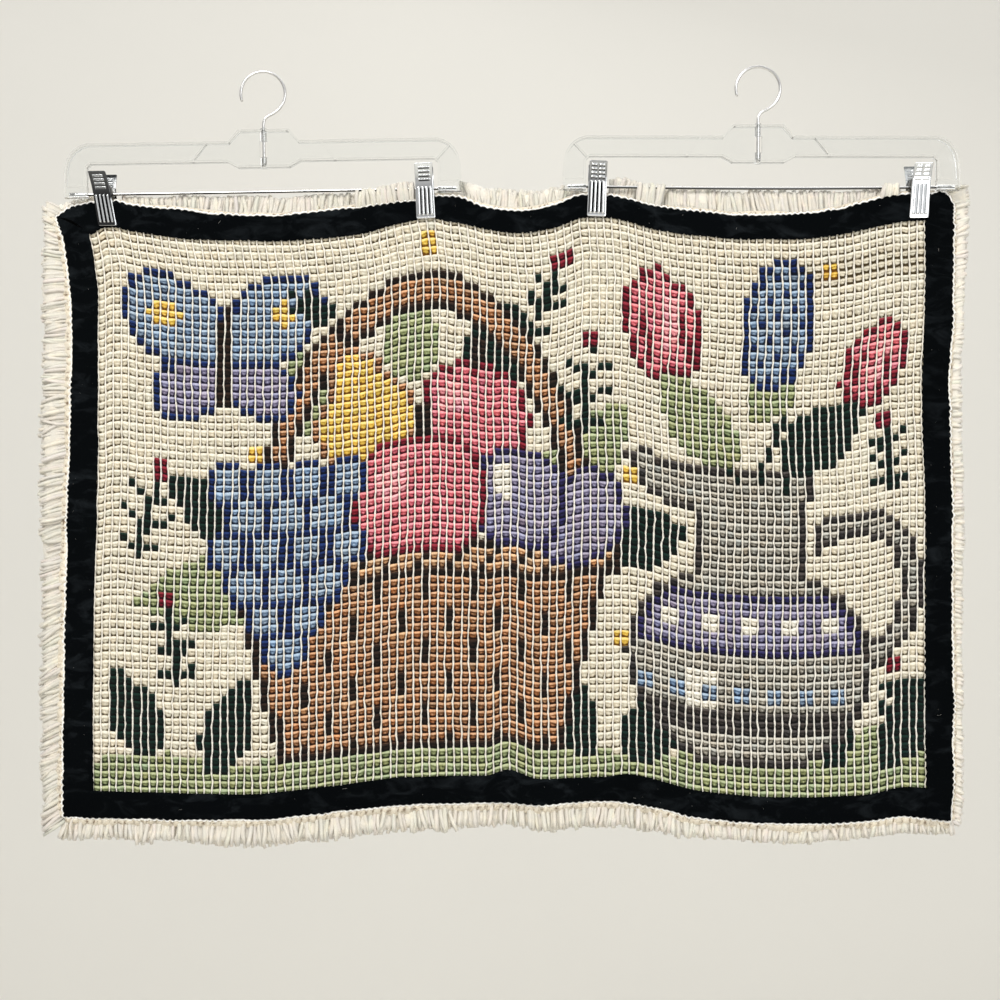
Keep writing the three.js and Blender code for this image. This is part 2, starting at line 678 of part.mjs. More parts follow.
function hangerFrame(h) {
  const top = withStem(
    [...hangerOutside.slice().reverse().map((p) => ({ x: -p.x, z: p.z })), ...hangerOutside],
    h.stem,
  );
  const low = withStem(
    [...hangerInside.map((p) => ({ x: -p.x, z: p.z })), ...hangerInside.slice().reverse()],
    h.stem,
  );
  const outline = [...low, ...top.slice().reverse()];
  const ribs = HANGER_RIBS.flatMap((r) =>
    [-1, 1].map((side) => {
      const dx = r.x1 - r.x0;
      const dz = r.z1 - r.z0;
      const size = Math.hypot(dx, dz);
      const nx = ((dz / size) * HANGER.ribThick) / 2;
      const nz = ((dx / size) * HANGER.ribThick) / 2;
      const points = [
        { x: side * (r.x0 + nx), z: r.z0 - nz },
        { x: side * (r.x1 + nx), z: r.z1 - nz },
        { x: side * (r.x1 - nx), z: r.z1 + nz },
        { x: side * (r.x0 - nx), z: r.z0 + nz },
      ];
      return prismY(withStem(points, h.stem), HANGER.flangeDeep - 2);
    }),
  );
  const blocks = [-1, 1].map((side) =>
    prismY(
      [
        { x: side * HANGER.armInner, z: HANGER.armFoot },
        { x: side * HANGER.half, z: HANGER.armFoot },
        { x: side * HANGER.half, z: HANGER.blockTop },
        { x: side * HANGER.armInner, z: HANGER.blockTop },
      ],
      HANGER.flangeDeep,
    ),
  );
  const collars = COLLARS.map((c) =>
    cylinderZ(HANGER.collarRadius, c.low, c.high).translate([h.stem, 0, 0]),
  );
  const body = union([
    prismY(outline, HANGER.web),
    flange(top, 1, HANGER.flangeDeep),
    flange(low, -1, HANGER.flangeDeep),
    ...ribs,
    ...blocks,
    ...collars,
  ]);
  const window = prismY(
    [
      { x: h.stem - HANGER.windowHalf, z: COLLARS[0].high },
      { x: h.stem + HANGER.windowHalf, z: COLLARS[0].high },
      { x: h.stem + HANGER.windowHalf, z: COLLARS[1].low },
      { x: h.stem - HANGER.windowHalf, z: COLLARS[1].low },
    ],
    2 * HANGER.collarRadius + 2,
  );
  const bores = union([
    window,
    cylinderZ(HOOK.wire + BORE_SLACK, HOOK.foot - GAP, COLLARS[1].high + 1).translate([h.stem, 0, 0]),
    cylinderX(ROD_RADIUS + BORE_SLACK, -HANGER.half + 4, -HANGER.armInner + 1, 12),
    cylinderX(ROD_RADIUS + BORE_SLACK, HANGER.armInner - 1, HANGER.half - 4, 12),
  ]);
  return geometryOf(body.subtract(bores));
}

class HookPath extends THREE.Curve {
  getPoint(t) {
    // A straight stem, a quarter turn out to the right, then round over the top to the left.
    const reach = HOOK.foot;
    const stem = HOOK.neck - reach;
    const start = -Math.PI / 2 + 0.62;
    const sweep = Math.PI + 0.35 - start;
    const join = {
      x: HOOK.radius * Math.cos(start),
      z: HOOK.centre + HOOK.radius * Math.sin(start),
    };
    const arc = sweep * HOOK.radius;
    const bend = Math.hypot(join.x, join.z - HOOK.neck) * 1.05;
    const total = stem + bend + arc;
    const s = t * total;
    if (s < stem) return new THREE.Vector3(0, 0, reach + s);
    if (s < stem + bend) {
      const u = (s - stem) / bend;
      const p0 = { x: 0, z: HOOK.neck };
      const p1 = { x: 0, z: HOOK.neck + bend * HOOK.ease };
      const p2 = {
        x: join.x + Math.sin(start) * bend * HOOK.ease,
        z: join.z - Math.cos(start) * bend * HOOK.ease,
      };
      const w = [(1 - u) ** 3, 3 * u * (1 - u) ** 2, 3 * u * u * (1 - u), u ** 3];
      return new THREE.Vector3(
        w[0] * p0.x + w[1] * p1.x + w[2] * p2.x + w[3] * join.x,
        0,
        w[0] * p0.z + w[1] * p1.z + w[2] * p2.z + w[3] * join.z,
      );
    }
    const a = start + (s - stem - bend) / HOOK.radius;
    return new THREE.Vector3(
      HOOK.radius * Math.cos(a),
      0,
      HOOK.centre + HOOK.radius * Math.sin(a),
    );
  }
}

class RodPath extends THREE.Curve {
  constructor(h) {
    super();
    this.hanger = h;
  }
  getPoint(t) {
    const end = HANGER.half - 4 - GAP;
    const x = lerp(-end, end, t);
    return new THREE.Vector3(x, 0, rodLine(this.hanger, x));
  }
}

// ---- clips ----------------------------------------------------------------------------
const jawInner = line(JAW, "z", "y");
function jawStrip(low, high, proud, steps) {
  const rows = Array.from({ length: steps + 1 }, (_, k) => lerp(low, high, k / steps));
  const inner = rows.map((z) => ({ y: jawInner(z), z }));
  const outer = rows.map((z) => ({ y: jawInner(z) - CLIP.sheet - proud, z }));
  return [...outer, ...inner.reverse()];
}
const FRONT_PLATE = [
  ...JAW.map((r) => ({ y: r.y - CLIP.sheet, z: r.z })),
  ...[...JAW].reverse().map((r) => ({ y: r.y, z: r.z })),
];

// The plate's outline from the front: a little narrower at the thumb end.
const PLATE_SIDES = [
  { x: -CLIP.gripHalf, z: JAW[0].z },
  { x: CLIP.gripHalf, z: JAW[0].z },
  { x: CLIP.thumbHalf, z: JAW.at(-1).z },
  { x: -CLIP.thumbHalf, z: JAW.at(-1).z },
];

// One jaw in the clip's own frame, the front one as it is and the back one turned round.
function jaw(earAt, look) {
  const parts = [prismX(FRONT_PLATE, -CLIP.gripHalf - 1, CLIP.gripHalf + 1).intersect(prismY(PLATE_SIDES, 40))];
  for (const side of [-1, 1]) {
    const x = side * earAt;
    const round = Array.from({ length: 9 }, (_, k) => {
      const a = -Math.PI / 2 + (Math.PI * k) / 8;
      return { y: CLIP.earRadius * Math.cos(a), z: CLIP.earRadius * Math.sin(a) };
    });
    parts.push(
      prismX(
        [{ y: -6.2, z: -CLIP.earRadius }, ...round, { y: -7.0, z: CLIP.earRadius }],
        x - CLIP.sheet / 2,
        x + CLIP.sheet / 2,
      ),
    );
  }
  for (const x of UPRIGHT_RIBS.at)
    parts.push(
      prismX(
        jawStrip(UPRIGHT_RIBS.low, look.ribTop, CLIP.ribProud, 4),
        x - CLIP.ribWide / 2,
        x + CLIP.ribWide / 2,
      ),
    );
  for (const z of CROSS_RIBS.at)
    for (const x of look.middles)
      parts.push(
        prismX(
          jawStrip(z - CROSS_RIBS.tall / 2, z + CROSS_RIBS.tall / 2, CLIP.ribProud, 1),
          x - look.half,
          x + look.half,
        ),
      );
  return union(parts);
}

function springBody() {
  // A coil seen as its envelope: a ribbed tube, one rib for each turn.
  const profile = [];
  const step = (2 * SPRING.half) / SPRING.turns;
  for (let k = 0; k < SPRING.turns; k++) {
    const at = -SPRING.half + k * step;
    profile.push(new THREE.Vector2(SPRING.outer - 0.35, at));
    profile.push(new THREE.Vector2(SPRING.outer, at + step / 2));
  }
  profile.push(new THREE.Vector2(SPRING.outer - 0.35, SPRING.half));
  profile.push(new THREE.Vector2(SPRING.inner, SPRING.half));
  profile.push(new THREE.Vector2(SPRING.inner, -SPRING.half));
  profile.push(new THREE.Vector2(SPRING.outer - 0.35, -SPRING.half));
  const g = new THREE.LatheGeometry(profile, 12);
  g.rotateZ(-Math.PI / 2);
  return g;
}

// ---- assembly ----------------------------------------------------------------------------
const group = new THREE.Group();
function add(name, geometry, matrix) {
  const g = geometry.index ? geometry : mergeVertices(geometry);
  if (matrix) g.applyMatrix4(matrix);
  const mesh = new THREE.Mesh(g);
  mesh.name = name;
  group.add(mesh);
  return mesh;
}

const hangerMatrix = (h) =>
  new THREE.Matrix4()
    .makeTranslation(h.x, MID_Y, h.z)
    .multiply(new THREE.Matrix4().makeRotationY(-rad(h.tilt)));
// The pile parts round the feet of the hangers' arms.
const ROUND_ARM = 0.5;
const armRoom = HANGERS.flatMap((h) =>
  [-1, 1].map((side) =>
    prismY(
      [
        { x: side * (HANGER.armInner - ROUND_ARM), z: HANGER.armFoot - ROUND_ARM },
        { x: side * (HANGER.half + ROUND_ARM), z: HANGER.armFoot - ROUND_ARM },
        { x: side * (HANGER.half + ROUND_ARM), z: HANGER.beamLow },
        { x: side * (HANGER.armInner - ROUND_ARM), z: HANGER.beamLow },
      ],
      HANGER.flangeDeep + 2 * ROUND_ARM,
    ).transform(hangerMatrix(h).elements),
  ),
);
const pile = geometryOf(solid(pileWhole).subtract(union(armRoom)));

add("canvas", canvas);
add("pile", pile);
add("tape_top", tapeTop);
add("tape_bottom", tapeBottom);
add("tape_left", tapeLeft);
add("tape_right", tapeRight);

for (const h of HANGERS) {
  add(`hanger_${h.name}`, hangerFrame(h), hangerMatrix(h));
  add(
    `hook_${h.name}`,
    geometryOf(solid(bar(new HookPath(), HOOK.wire, 44, 8)).translate([h.stem, 0, 0])),
    hangerMatrix(h),
  );
  add(`rod_${h.name}`, geometryOf(solid(bar(new RodPath(h), ROD_RADIUS, 20, 8))), hangerMatrix(h));
}

const AROUND_ROD = cylinderX(ROD_RADIUS + BORE_SLACK, -16, 16, 12);
CLIPS.forEach((c, k) => {
  const h = HANGERS[c.hanger];
  const local = (c.x - h.x) / Math.cos(rad(h.tilt));
  const z = h.z + local * Math.sin(rad(h.tilt)) + rodLine(h, local);
  const rod = new THREE.Matrix4()
    .makeTranslation(c.x, MID_Y, z)
    .multiply(new THREE.Matrix4().makeRotationY(-rad(h.tilt) - rodSlope(h, local)));
  const clip = new THREE.Matrix4()
    .makeTranslation(c.x, MID_Y, z)
    .multiply(new THREE.Matrix4().makeRotationZ(rad(c.turn)))
    .multiply(new THREE.Matrix4().makeRotationY(-rad(c.lean)));
  const back = clip.clone().multiply(new THREE.Matrix4().makeRotationZ(Math.PI));
  const bore = AROUND_ROD.transform(rod.elements);
  const placed = (made, matrix) =>
    geometryOf(made.scale([c.wide, 1, 1]).transform(matrix.elements).subtract(bore));
  add(`clip${k + 1}_front`, placed(jaw(CLIP.frontEar, LOOKS[c.look]), clip));
  add(`clip${k + 1}_back`, placed(jaw(CLIP.backEar, LOOKS[c.look]), back));
  add(`clip${k + 1}_spring`, geometryOf(solid(springBody())), rod);
});

// The frame's origin is the middle of the whole part's box.
group.updateMatrixWorld(true);
const box = new THREE.Box3().setFromObject(group);
const centre = box.getCenter(new THREE.Vector3());
for (const mesh of group.children) mesh.geometry.translate(-centre.x, -centre.y, -centre.z);

export default group;
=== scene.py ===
# Latch hook rug on two clear clip hangers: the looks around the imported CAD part.
# Lengths are millimetres in the panel's own coordinates (X right, Z up, -Y the canvas side) until place_mm() puts them in the row frame, in metres.
import math

import bpy
import numpy as np
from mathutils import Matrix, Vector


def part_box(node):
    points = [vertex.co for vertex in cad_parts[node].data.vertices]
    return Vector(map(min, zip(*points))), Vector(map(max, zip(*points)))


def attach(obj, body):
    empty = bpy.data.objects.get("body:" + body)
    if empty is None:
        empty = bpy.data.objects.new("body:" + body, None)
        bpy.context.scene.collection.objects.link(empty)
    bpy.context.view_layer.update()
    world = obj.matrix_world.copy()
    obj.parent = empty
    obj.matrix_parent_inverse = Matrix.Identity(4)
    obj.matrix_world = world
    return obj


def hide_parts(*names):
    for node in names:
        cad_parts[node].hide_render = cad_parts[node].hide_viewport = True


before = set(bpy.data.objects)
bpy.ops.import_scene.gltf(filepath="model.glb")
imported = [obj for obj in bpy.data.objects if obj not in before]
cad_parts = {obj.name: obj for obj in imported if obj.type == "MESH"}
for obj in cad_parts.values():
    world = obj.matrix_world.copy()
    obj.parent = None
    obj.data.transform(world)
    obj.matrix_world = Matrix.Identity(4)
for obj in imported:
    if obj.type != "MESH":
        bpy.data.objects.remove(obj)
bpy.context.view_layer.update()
RNG = np.random.default_rng(20413)

# ---- driving sizes (mm) ------------------------------------------------------
CANVAS_THICK = 3.0
TAPE_BACK = -1.8  # from the canvas's middle surface
TAPE_FRONT = -3.0
MESHES_ACROSS, MESHES_DOWN = 112, 78
UNDER_ACROSS, UNDER_DOWN = 4, 3.5
FLAT_BELOW_TOP = 34.0
MID_Y = 0.9
ROD_RADIUS = 1.3
HOOK = {"wire": 1.25, "foot": 21.5, "neck": 57, "centre": 84, "radius": 19, "ease": 0.45}
HANGER = {"half": 170, "arm_inner": 150.3}
CLIP = {"thumb_half": 7.6, "grip_half": 8.2, "sheet": 1.2, "front_ear": 7.2, "back_ear": 5.7, "ear_radius": 4.2}
JOIN = {"from": -19, "to": 34, "rise": 1.0}

# ---- tables: the same rows as the part --------------------------------------------
TOP_EDGE = [  # x, z, tape
    (-385.2, 243.0, 26.0), (-367.7, 252.0, 26.0), (-353.9, 253.9, 26.0), (-344.5, 254.4, 21.6),
    (-334.8, 254.6, 21.4), (-318.5, 251.2, 21.5), (-274.8, 247.1, 24.0), (-229.7, 242.3, 21.1),
    (-198.4, 242.0, 20.9), (-175.3, 243.8, 21.8), (-130.2, 249.1, 22.4), (-76.9, 256.0, 16.5),
    (-59.1, 259.4, 18.6), (-44.1, 259.0, 21.0), (-14.1, 249.8, 18.0), (13.3, 247.1, 18.3),
    (39.0, 251.2, 19.0), (70.4, 260.8, 18.4), (89.6, 259.7, 18.3), (134.6, 249.8, 19.8),
    (156.4, 246.8, 20.0), (209.8, 242.7, 20.2), (236.1, 242.7, 20.7), (278.1, 246.3, 21.4),
    (341.9, 260.7, 23.7), (359.9, 261.4, 21.7), (368.0, 261.8, 23.8), (373.0, 264.0, 24.7),
    (380.4, 261.9, 24.7), (385.2, 253.7, 24.7),
]
BOTTOM_EDGE = [  # x, z, tape
    (-378.0, -271.7, 22.8), (-278.1, -272.5, 21.8), (-212.5, -272.4, 21.4), (-173.5, -268.8, 21.3),
    (-134.1, -264.8, 22.0), (-89.6, -261.3, 23.2), (-72.4, -260.5, 23.0), (-16.1, -259.7, 22.7),
    (2.1, -259.3, 27.6), (28.5, -261.9, 22.2), (81.0, -258.0, 20.7), (99.0, -258.0, 22.0),
    (118.7, -260.5, 23.6), (171.0, -271.7, 22.7), (243.0, -275.7, 22.0), (304.7, -274.2, 22.3),
    (342.4, -270.0, 24.4), (360.4, -272.2, 25.4), (382.7, -275.1, 25.4),
]
LEFT_EDGE = [  # z, x, tape
    (243.0, -385.2, 23.5), (225.4, -379.2, 23.4), (186.8, -373.7, 24.5), (143.1, -370.9, 22.4),
    (102.8, -371.5, 23.1), (37.3, -372.6, 24.1), (-17.1, -374.8, 25.1), (-68.6, -375.4, 24.1),
    (-168.0, -377.6, 24.9), (-239.1, -378.0, 25.4), (-271.7, -378.0, 25.4),
]
RIGHT_EDGE = [  # z, x, tape
    (253.7, 385.2, 25.3), (229.7, 385.2, 25.0), (162.0, 384.4, 24.2), (96.8, 380.9, 23.8),
    (-14.6, 383.5, 23.0), (-107.1, 383.5, 23.1), (-168.0, 384.4, 24.0), (-240.0, 384.4, 23.1),
    (-275.1, 382.7, 22.0),
]
INNER = {
    "left": (-356.5, -352.7), "right": (359.9, 360.8),  # x at the top and the bottom
    "top": (227.5, 239.7), "bottom": (-249.0, -246.8),  # z at the left and the right
}
PILE_TOP = [(-385, 8), (-310, 10), (-227, 19), (-175, 17), (-110, 16), (-38, 19), (35, 17), (116, 19), (167, 22), (253, 22), (322, 11), (385, 7)]
PILE_BOTTOM = [(-378, 19), (-300, 21), (-175, 24), (100, 23), (168, 19), (345, 17), (383, 15.5)]
PILE_LEFT = [(243, 15), (170, 27), (37, 27), (-70, 23.5), (-170, 22), (-272, 20)]
PILE_RIGHT = [(254, 15), (158, 12), (-15, 12), (-120, 10.5), (-275, 10)]
FOLDS = [  # x, and y near the top, in the middle and at the bottom
    (-386, 7.2, 4.5, 5.0), (-360, 3.6, 2.0, 2.5), (-300, -4.0, -2.5, -2.0), (-235, -4.5, -5.0, -6.0),
    (-175, -3.5, -4.5, -5.0), (-110, -0.8, -1.0, 0.5), (-35, 0.6, 2.5, 5.5), (5, 2.4, 4.0, 7.0),
    (45, 0.8, 3.0, 5.5), (125, -1.5, -0.5, 0.5), (190, -3.8, -4.0, -5.0), (250, -4.5, -5.5, -6.5),
    (315, -4.0, -3.5, -3.0), (386, 6.2, 3.5, 4.5),
]
HANGERS = [
    {"name": "left", "x": -207.0, "z": 264.4, "tilt": 1.0, "sag": 0.2, "stem": 1.3},
    {"name": "right", "x": 220.0, "z": 268.6, "tilt": -0.1, "sag": 1.4, "stem": -2.7},
]
CLIPS = [  # hanger, x, lean, turn, width against CLIP's
    (0, -342.8, 9.3, -11.3, 1.0), (0, -68.4, 2.6, 0.0, 1.0), (1, 79.5, -2.0, 0.0, 1.0), (1, 354.7, -2.9, 11.3, 1.08),
]
JAW = [(-26.0, -4.5), (-24.7, -4.2), (-21.5, -4.5), (-12.0, -5.1), (-4.0, -5.5), (3.5, -5.9), (18.5, -9.9), (20.6, -10.9)]
UPRIGHT_RIBS = {"at": (-5.3, -1.77, 1.77, 5.3), "low": -23.2, "half": 1.05}
CROSS_RIBS = {"at": (6.9, 10.2, 13.5, 16.8), "half": 0.98}
LOOKS = {  # middles and half width of what is in each row at the thumb end, and how high the upright ribs reach
    "bars": {"middles": (0.0,), "half": 5.2, "rib_top": 1.0, "arch": 0.0},
    "pads": {"middles": (-3.5, 3.5), "half": 2.7, "rib_top": 4.2, "arch": 0.35},
}

rad = math.radians
SHIFT = None  # from the panel's coordinates to the row frame, worked out below


# ---- small helpers ---------------------------------------------------------------
def line(rows, at=0, value=1):
    """A smooth line through a table's rows that never overshoots them."""
    rows = sorted(rows, key=lambda r: r[at])
    x = np.array([r[at] for r in rows], float)
    y = np.array([r[value] for r in rows], float)
    h = np.diff(x)
    d = np.diff(y) / h
    m = np.zeros(len(x))
    m[0], m[-1] = d[0], d[-1]
    for i in range(1, len(x) - 1):
        if d[i - 1] * d[i] > 0:
            a, b = 2 * h[i] + h[i - 1], h[i] + 2 * h[i - 1]
            m[i] = (a + b) / (a / d[i - 1] + b / d[i])

    def f(v):
        v = np.clip(np.asarray(v, float), x[0], x[-1])
        i = np.clip(np.searchsorted(x, v, side="left") - 1, 0, len(h) - 1)
        t = (v - x[i]) / h[i]
        t2, t3 = t * t, t * t * t
        return (2 * t3 - 3 * t2 + 1) * y[i] + (t3 - 2 * t2 + t) * h[i] * m[i] + (3 * t2 - 2 * t3) * y[i + 1] + (t3 - t2) * h[i] * m[i + 1]

    return f


def smooth(t):
    t = np.clip(t, 0, 1)
    return t * t * (3 - 2 * t)


def lerp(a, b, t):
    return a + (b - a) * t


def unit(v):
    return v / np.maximum(np.linalg.norm(v, axis=-1, keepdims=True), 1e-12)


def linear(rgb):
    c = np.asarray(rgb, float) / 255.0
    return np.where(c <= 0.04045, c / 12.92, ((c + 0.055) / 1.055) ** 2.4)


def wander(n, step, size, rng):
    """n values that drift smoothly, with a new one every `step` places."""
    k = int(n / step) + 4
    knots = rng.normal(0, size, k)
    at = np.arange(n) / step
    i = at.astype(int)
    t = smooth(at - i)
    return knots[i] * (1 - t) + knots[i + 1] * t


# ---- the rug's surface ------------------------------------------------------------
top_z, top_tape = line(TOP_EDGE), line(TOP_EDGE, 0, 2)
bottom_z, bottom_tape = line(BOTTOM_EDGE), line(BOTTOM_EDGE, 0, 2)
left_x, left_tape = line(LEFT_EDGE), line(LEFT_EDGE, 0, 2)
right_x, right_tape = line(RIGHT_EDGE), line(RIGHT_EDGE, 0, 2)
clip_rows = [(x + dx, dx * math.tan(rad(turn))) for _, x, _, turn, _ in CLIPS for dx in (-14.5, -10, 0, 10, 14.5)]
clear_rows = [(r[0], r[1]) for r in FOLDS if all(abs(c[1] - r[0]) > 15 for c in CLIPS)]
fold_top, fold_middle, fold_bottom = line(clear_rows + clip_rows), line(FOLDS, 0, 2), line(FOLDS, 0, 3)


def depth(x, z):
    high, low = top_z(x), bottom_z(x)
    t = np.clip((high - FLAT_BELOW_TOP - z) / (high - FLAT_BELOW_TOP - low), 0, 1)
    upper = lerp(fold_top(x), fold_middle(x), smooth(t * 2))
    lower = lerp(fold_middle(x), fold_bottom(x), smooth(t * 2 - 1))
    return np.where(t < 0.5, upper, lower)


I = np.array([0, UNDER_ACROSS, MESHES_ACROSS - UNDER_ACROSS, MESHES_ACROSS], float)
J = np.array([0, UNDER_DOWN, MESHES_DOWN - UNDER_DOWN, MESHES_DOWN], float)
TOP_X = np.array([TOP_EDGE[0][0], INNER["left"][0], INNER["right"][0], TOP_EDGE[-1][0]])
BOTTOM_X = np.array([BOTTOM_EDGE[0][0], INNER["left"][1], INNER["right"][1], BOTTOM_EDGE[-1][0]])
LEFT_Z = np.array([LEFT_EDGE[0][0], INNER["top"][0], INNER["bottom"][0], LEFT_EDGE[-1][0]])
RIGHT_Z = np.array([RIGHT_EDGE[0][0], INNER["top"][1], INNER["bottom"][1], RIGHT_EDGE[-1][0]])


def stretch(marks, values, v):
    k = np.where(v < marks[1], 0, np.where(v < marks[2], 1, 2))
    return lerp(values[k], values[k + 1], (v - marks[k]) / (marks[k + 1] - marks[k]))


def outer_top(i):
    x = stretch(I, TOP_X, i)
    return np.stack([x, top_z(x)])


def outer_bottom(i):
    x = stretch(I, BOTTOM_X, i)
    return np.stack([x, bottom_z(x)])


def outer_left(j):
    z = stretch(J, LEFT_Z, j)
    return np.stack([left_x(z), z])


def outer_right(j):
    z = stretch(J, RIGHT_Z, j)
    return np.stack([right_x(z), z])


def inner_top(i):
    x = stretch(I, TOP_X, i)
    return np.stack([x, top_z(x) - top_tape(x)])


def inner_bottom(i):
    x = stretch(I, BOTTOM_X, i)
    return np.stack([x, bottom_z(x) + bottom_tape(x)])


def inner_left(j):
    z = stretch(J, LEFT_Z, j)
    return np.stack([left_x(z) + left_tape(z), z])


def inner_right(j):
    z = stretch(J, RIGHT_Z, j)
    return np.stack([right_x(z) - right_tape(z), z])


def carried(middle, first, last, marks, v):
    """A line between the inner marks, run out to the edge at each end."""
    one = np.ones_like(v)
    low = lerp(first[:, None], middle(marks[1] * one), (v / marks[1])[None])
    high = lerp(middle(marks[2] * one), last[:, None], ((v - marks[2]) / (marks[3] - marks[2]))[None])
    return np.where(v < marks[1], low, np.where(v > marks[2], high, middle(v)))


def at(f, v):
    return f(np.array([float(v)]))[:, 0]


def row_line(k, i):
    if k == 0:
        return outer_top(i)
    if k == 3:
        return outer_bottom(i)
    return carried(inner_top if k == 1 else inner_bottom, at(outer_left, J[k]), at(outer_right, J[k]), I, i)


def column_line(k, j):
    if k == 0:
        return outer_left(j)
    if k == 3:
        return outer_right(j)
    return carried(inner_left if k == 1 else inner_right, at(outer_top, I[k]), at(outer_bottom, I[k]), J, j)


def place(i, j):
    """Places on the canvas's middle surface, by mesh column i and mesh row j: an array of x, y, z in mm."""
    i, j = np.broadcast_arrays(np.asarray(i, float), np.asarray(j, float))
    shape = i.shape
    i, j = i.ravel(), j.ravel()
    a = np.where(i < I[1], 0, np.where(i < I[2], 1, 2))
    b = np.where(j < J[1], 0, np.where(j < J[2], 1, 2))
    s = (i - I[a]) / (I[a + 1] - I[a])
    t = (j - J[b]) / (J[b + 1] - J[b])
    rows = np.stack([row_line(k, i) for k in range(4)])
    columns = np.stack([column_line(k, j) for k in range(4)])
    corner = np.array([[row_line(k, I[m : m + 1])[:, 0] for m in range(4)] for k in range(4)])
    n = np.arange(len(i))
    high, low = rows[b, :, n], rows[b + 1, :, n]
    left, right = columns[a, :, n], columns[a + 1, :, n]
    s, t = s[:, None], t[:, None]
    p = (
        lerp(high, low, t)
        + lerp(left, right, s)
        - lerp(lerp(corner[b, a], corner[b, a + 1], s), lerp(corner[b + 1, a], corner[b + 1, a + 1], s), t)
    )
    out = np.stack([p[:, 0], depth(p[:, 0], p[:, 1]), p[:, 1]], 1)
    return out.reshape(shape + (3,))


# The whole part was moved to the middle of its box, so the canvas node says by how much.
low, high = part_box("canvas")
edge = place(np.linspace(0, MESHES_ACROSS, 449)[:, None], np.linspace(0, MESHES_DOWN, 313)[None, :]).reshape(-1, 3)
SHIFT = np.array([0.0047, -8.2616, -38.58])
guess = 1000 * (np.array(low) + np.array(high)) / 2 - (edge.min(0) + edge.max(0)) / 2
print("shift from the canvas's box:", guess.round(2), "kept:", SHIFT)


def place_mm(p):
    return (np.asarray(p, float) + SHIFT) / 1000.0


# The weave is never quite even: each crossing of the canvas has a small place of its own.
JIT = RNG.normal(0, 0.045, (MESHES_ACROSS + 3, MESHES_DOWN + 3, 2))
for k in range(MESHES_ACROSS + 3):  # a warp wanders as one line
    JIT[k, :, 0] += wander(MESHES_DOWN + 3, 7, 0.05, RNG)
for k in range(MESHES_DOWN + 3):  # and so does a row
    JIT[:, k, 1] += wander(MESHES_ACROSS + 3, 9, 0.06, RNG)


def woven(i, j):
    """A place on the canvas with the weave's own unevenness."""
    i, j = np.broadcast_arrays(np.asarray(i, float), np.asarray(j, float))
    ci, cj = np.clip(i, 0, MESHES_ACROSS), np.clip(j, 0, MESHES_DOWN)
    i0, j0 = ci.astype(int), cj.astype(int)
    s, t = smooth(ci - i0)[..., None], smooth(cj - j0)[..., None]
    shift = lerp(lerp(JIT[i0, j0], JIT[i0 + 1, j0], s), lerp(JIT[i0, j0 + 1], JIT[i0 + 1, j0 + 1], s), t)
    fade = np.clip(np.minimum.reduce([ci, MESHES_ACROSS - ci, cj, MESHES_DOWN - cj]) / 2, 0, 1)[..., None]
    shift = shift * fade
    return place(np.clip(i + shift[..., 0], 0, MESHES_ACROSS), np.clip(j + shift[..., 1], 0, MESHES_DOWN))


# ---- meshes ------------------------------------------------------------------------
def new_mesh(name, points, faces, smooth_faces=True, collection=None):
    """A mesh object from points in metres and equal-sided faces (an array) or a list of such arrays."""
    groups = [np.asarray(f, np.int32) for f in (faces if isinstance(faces, list) else [faces]) if len(f)]
    sizes = np.concatenate([np.full(len(g), g.shape[1], np.int32) for g in groups])
    loops = np.concatenate([g.ravel() for g in groups])
    mesh = bpy.data.meshes.new(name)
    mesh.vertices.add(len(points))
    mesh.vertices.foreach_set("co", np.asarray(points, np.float32).ravel())
    mesh.loops.add(len(loops))
    mesh.loops.foreach_set("vertex_index", loops)
    mesh.polygons.add(len(sizes))
    mesh.polygons.foreach_set("loop_start", np.concatenate([[0], np.cumsum(sizes)[:-1]]).astype(np.int32))
    mesh.polygons.foreach_set("loop_total", sizes)
    mesh.polygons.foreach_set("use_smooth", np.full(len(sizes), bool(smooth_faces)))
    mesh.update(calc_edges=True)
    ob = bpy.data.objects.new(name, mesh)
    bpy.context.scene.collection.objects.link(ob)
    return ob


def corner_colours(ob, name, per_corner):
    a = ob.data.color_attributes.new(name, "FLOAT_COLOR", "CORNER")
    data = np.ones((len(per_corner), 4), np.float32)
    data[:, :3] = per_corner
    a.data.foreach_set("color", data.ravel())


def point_colours(ob, name, per_point):
    a = ob.data.color_attributes.new(name, "FLOAT_COLOR", "POINT")
    data = np.ones((len(per_point), 4), np.float32)
    data[:, :3] = per_point
    a.data.foreach_set("color", data.ravel())


def point_value(ob, name, values):
    a = ob.data.attributes.new(name, "FLOAT", "POINT")
    a.data.foreach_set("value", np.asarray(values, np.float32))


def uv_map(ob, name, per_corner):
    layer = ob.data.uv_layers.new(name=name)
    layer.data.foreach_set("uv", np.asarray(per_corner, np.float32).ravel())
    return layer


def triangles(ob):
    n = np.zeros(len(ob.data.polygons), np.int32)
    ob.data.polygons.foreach_get("loop_total", n)
    return int((n - 2).sum())


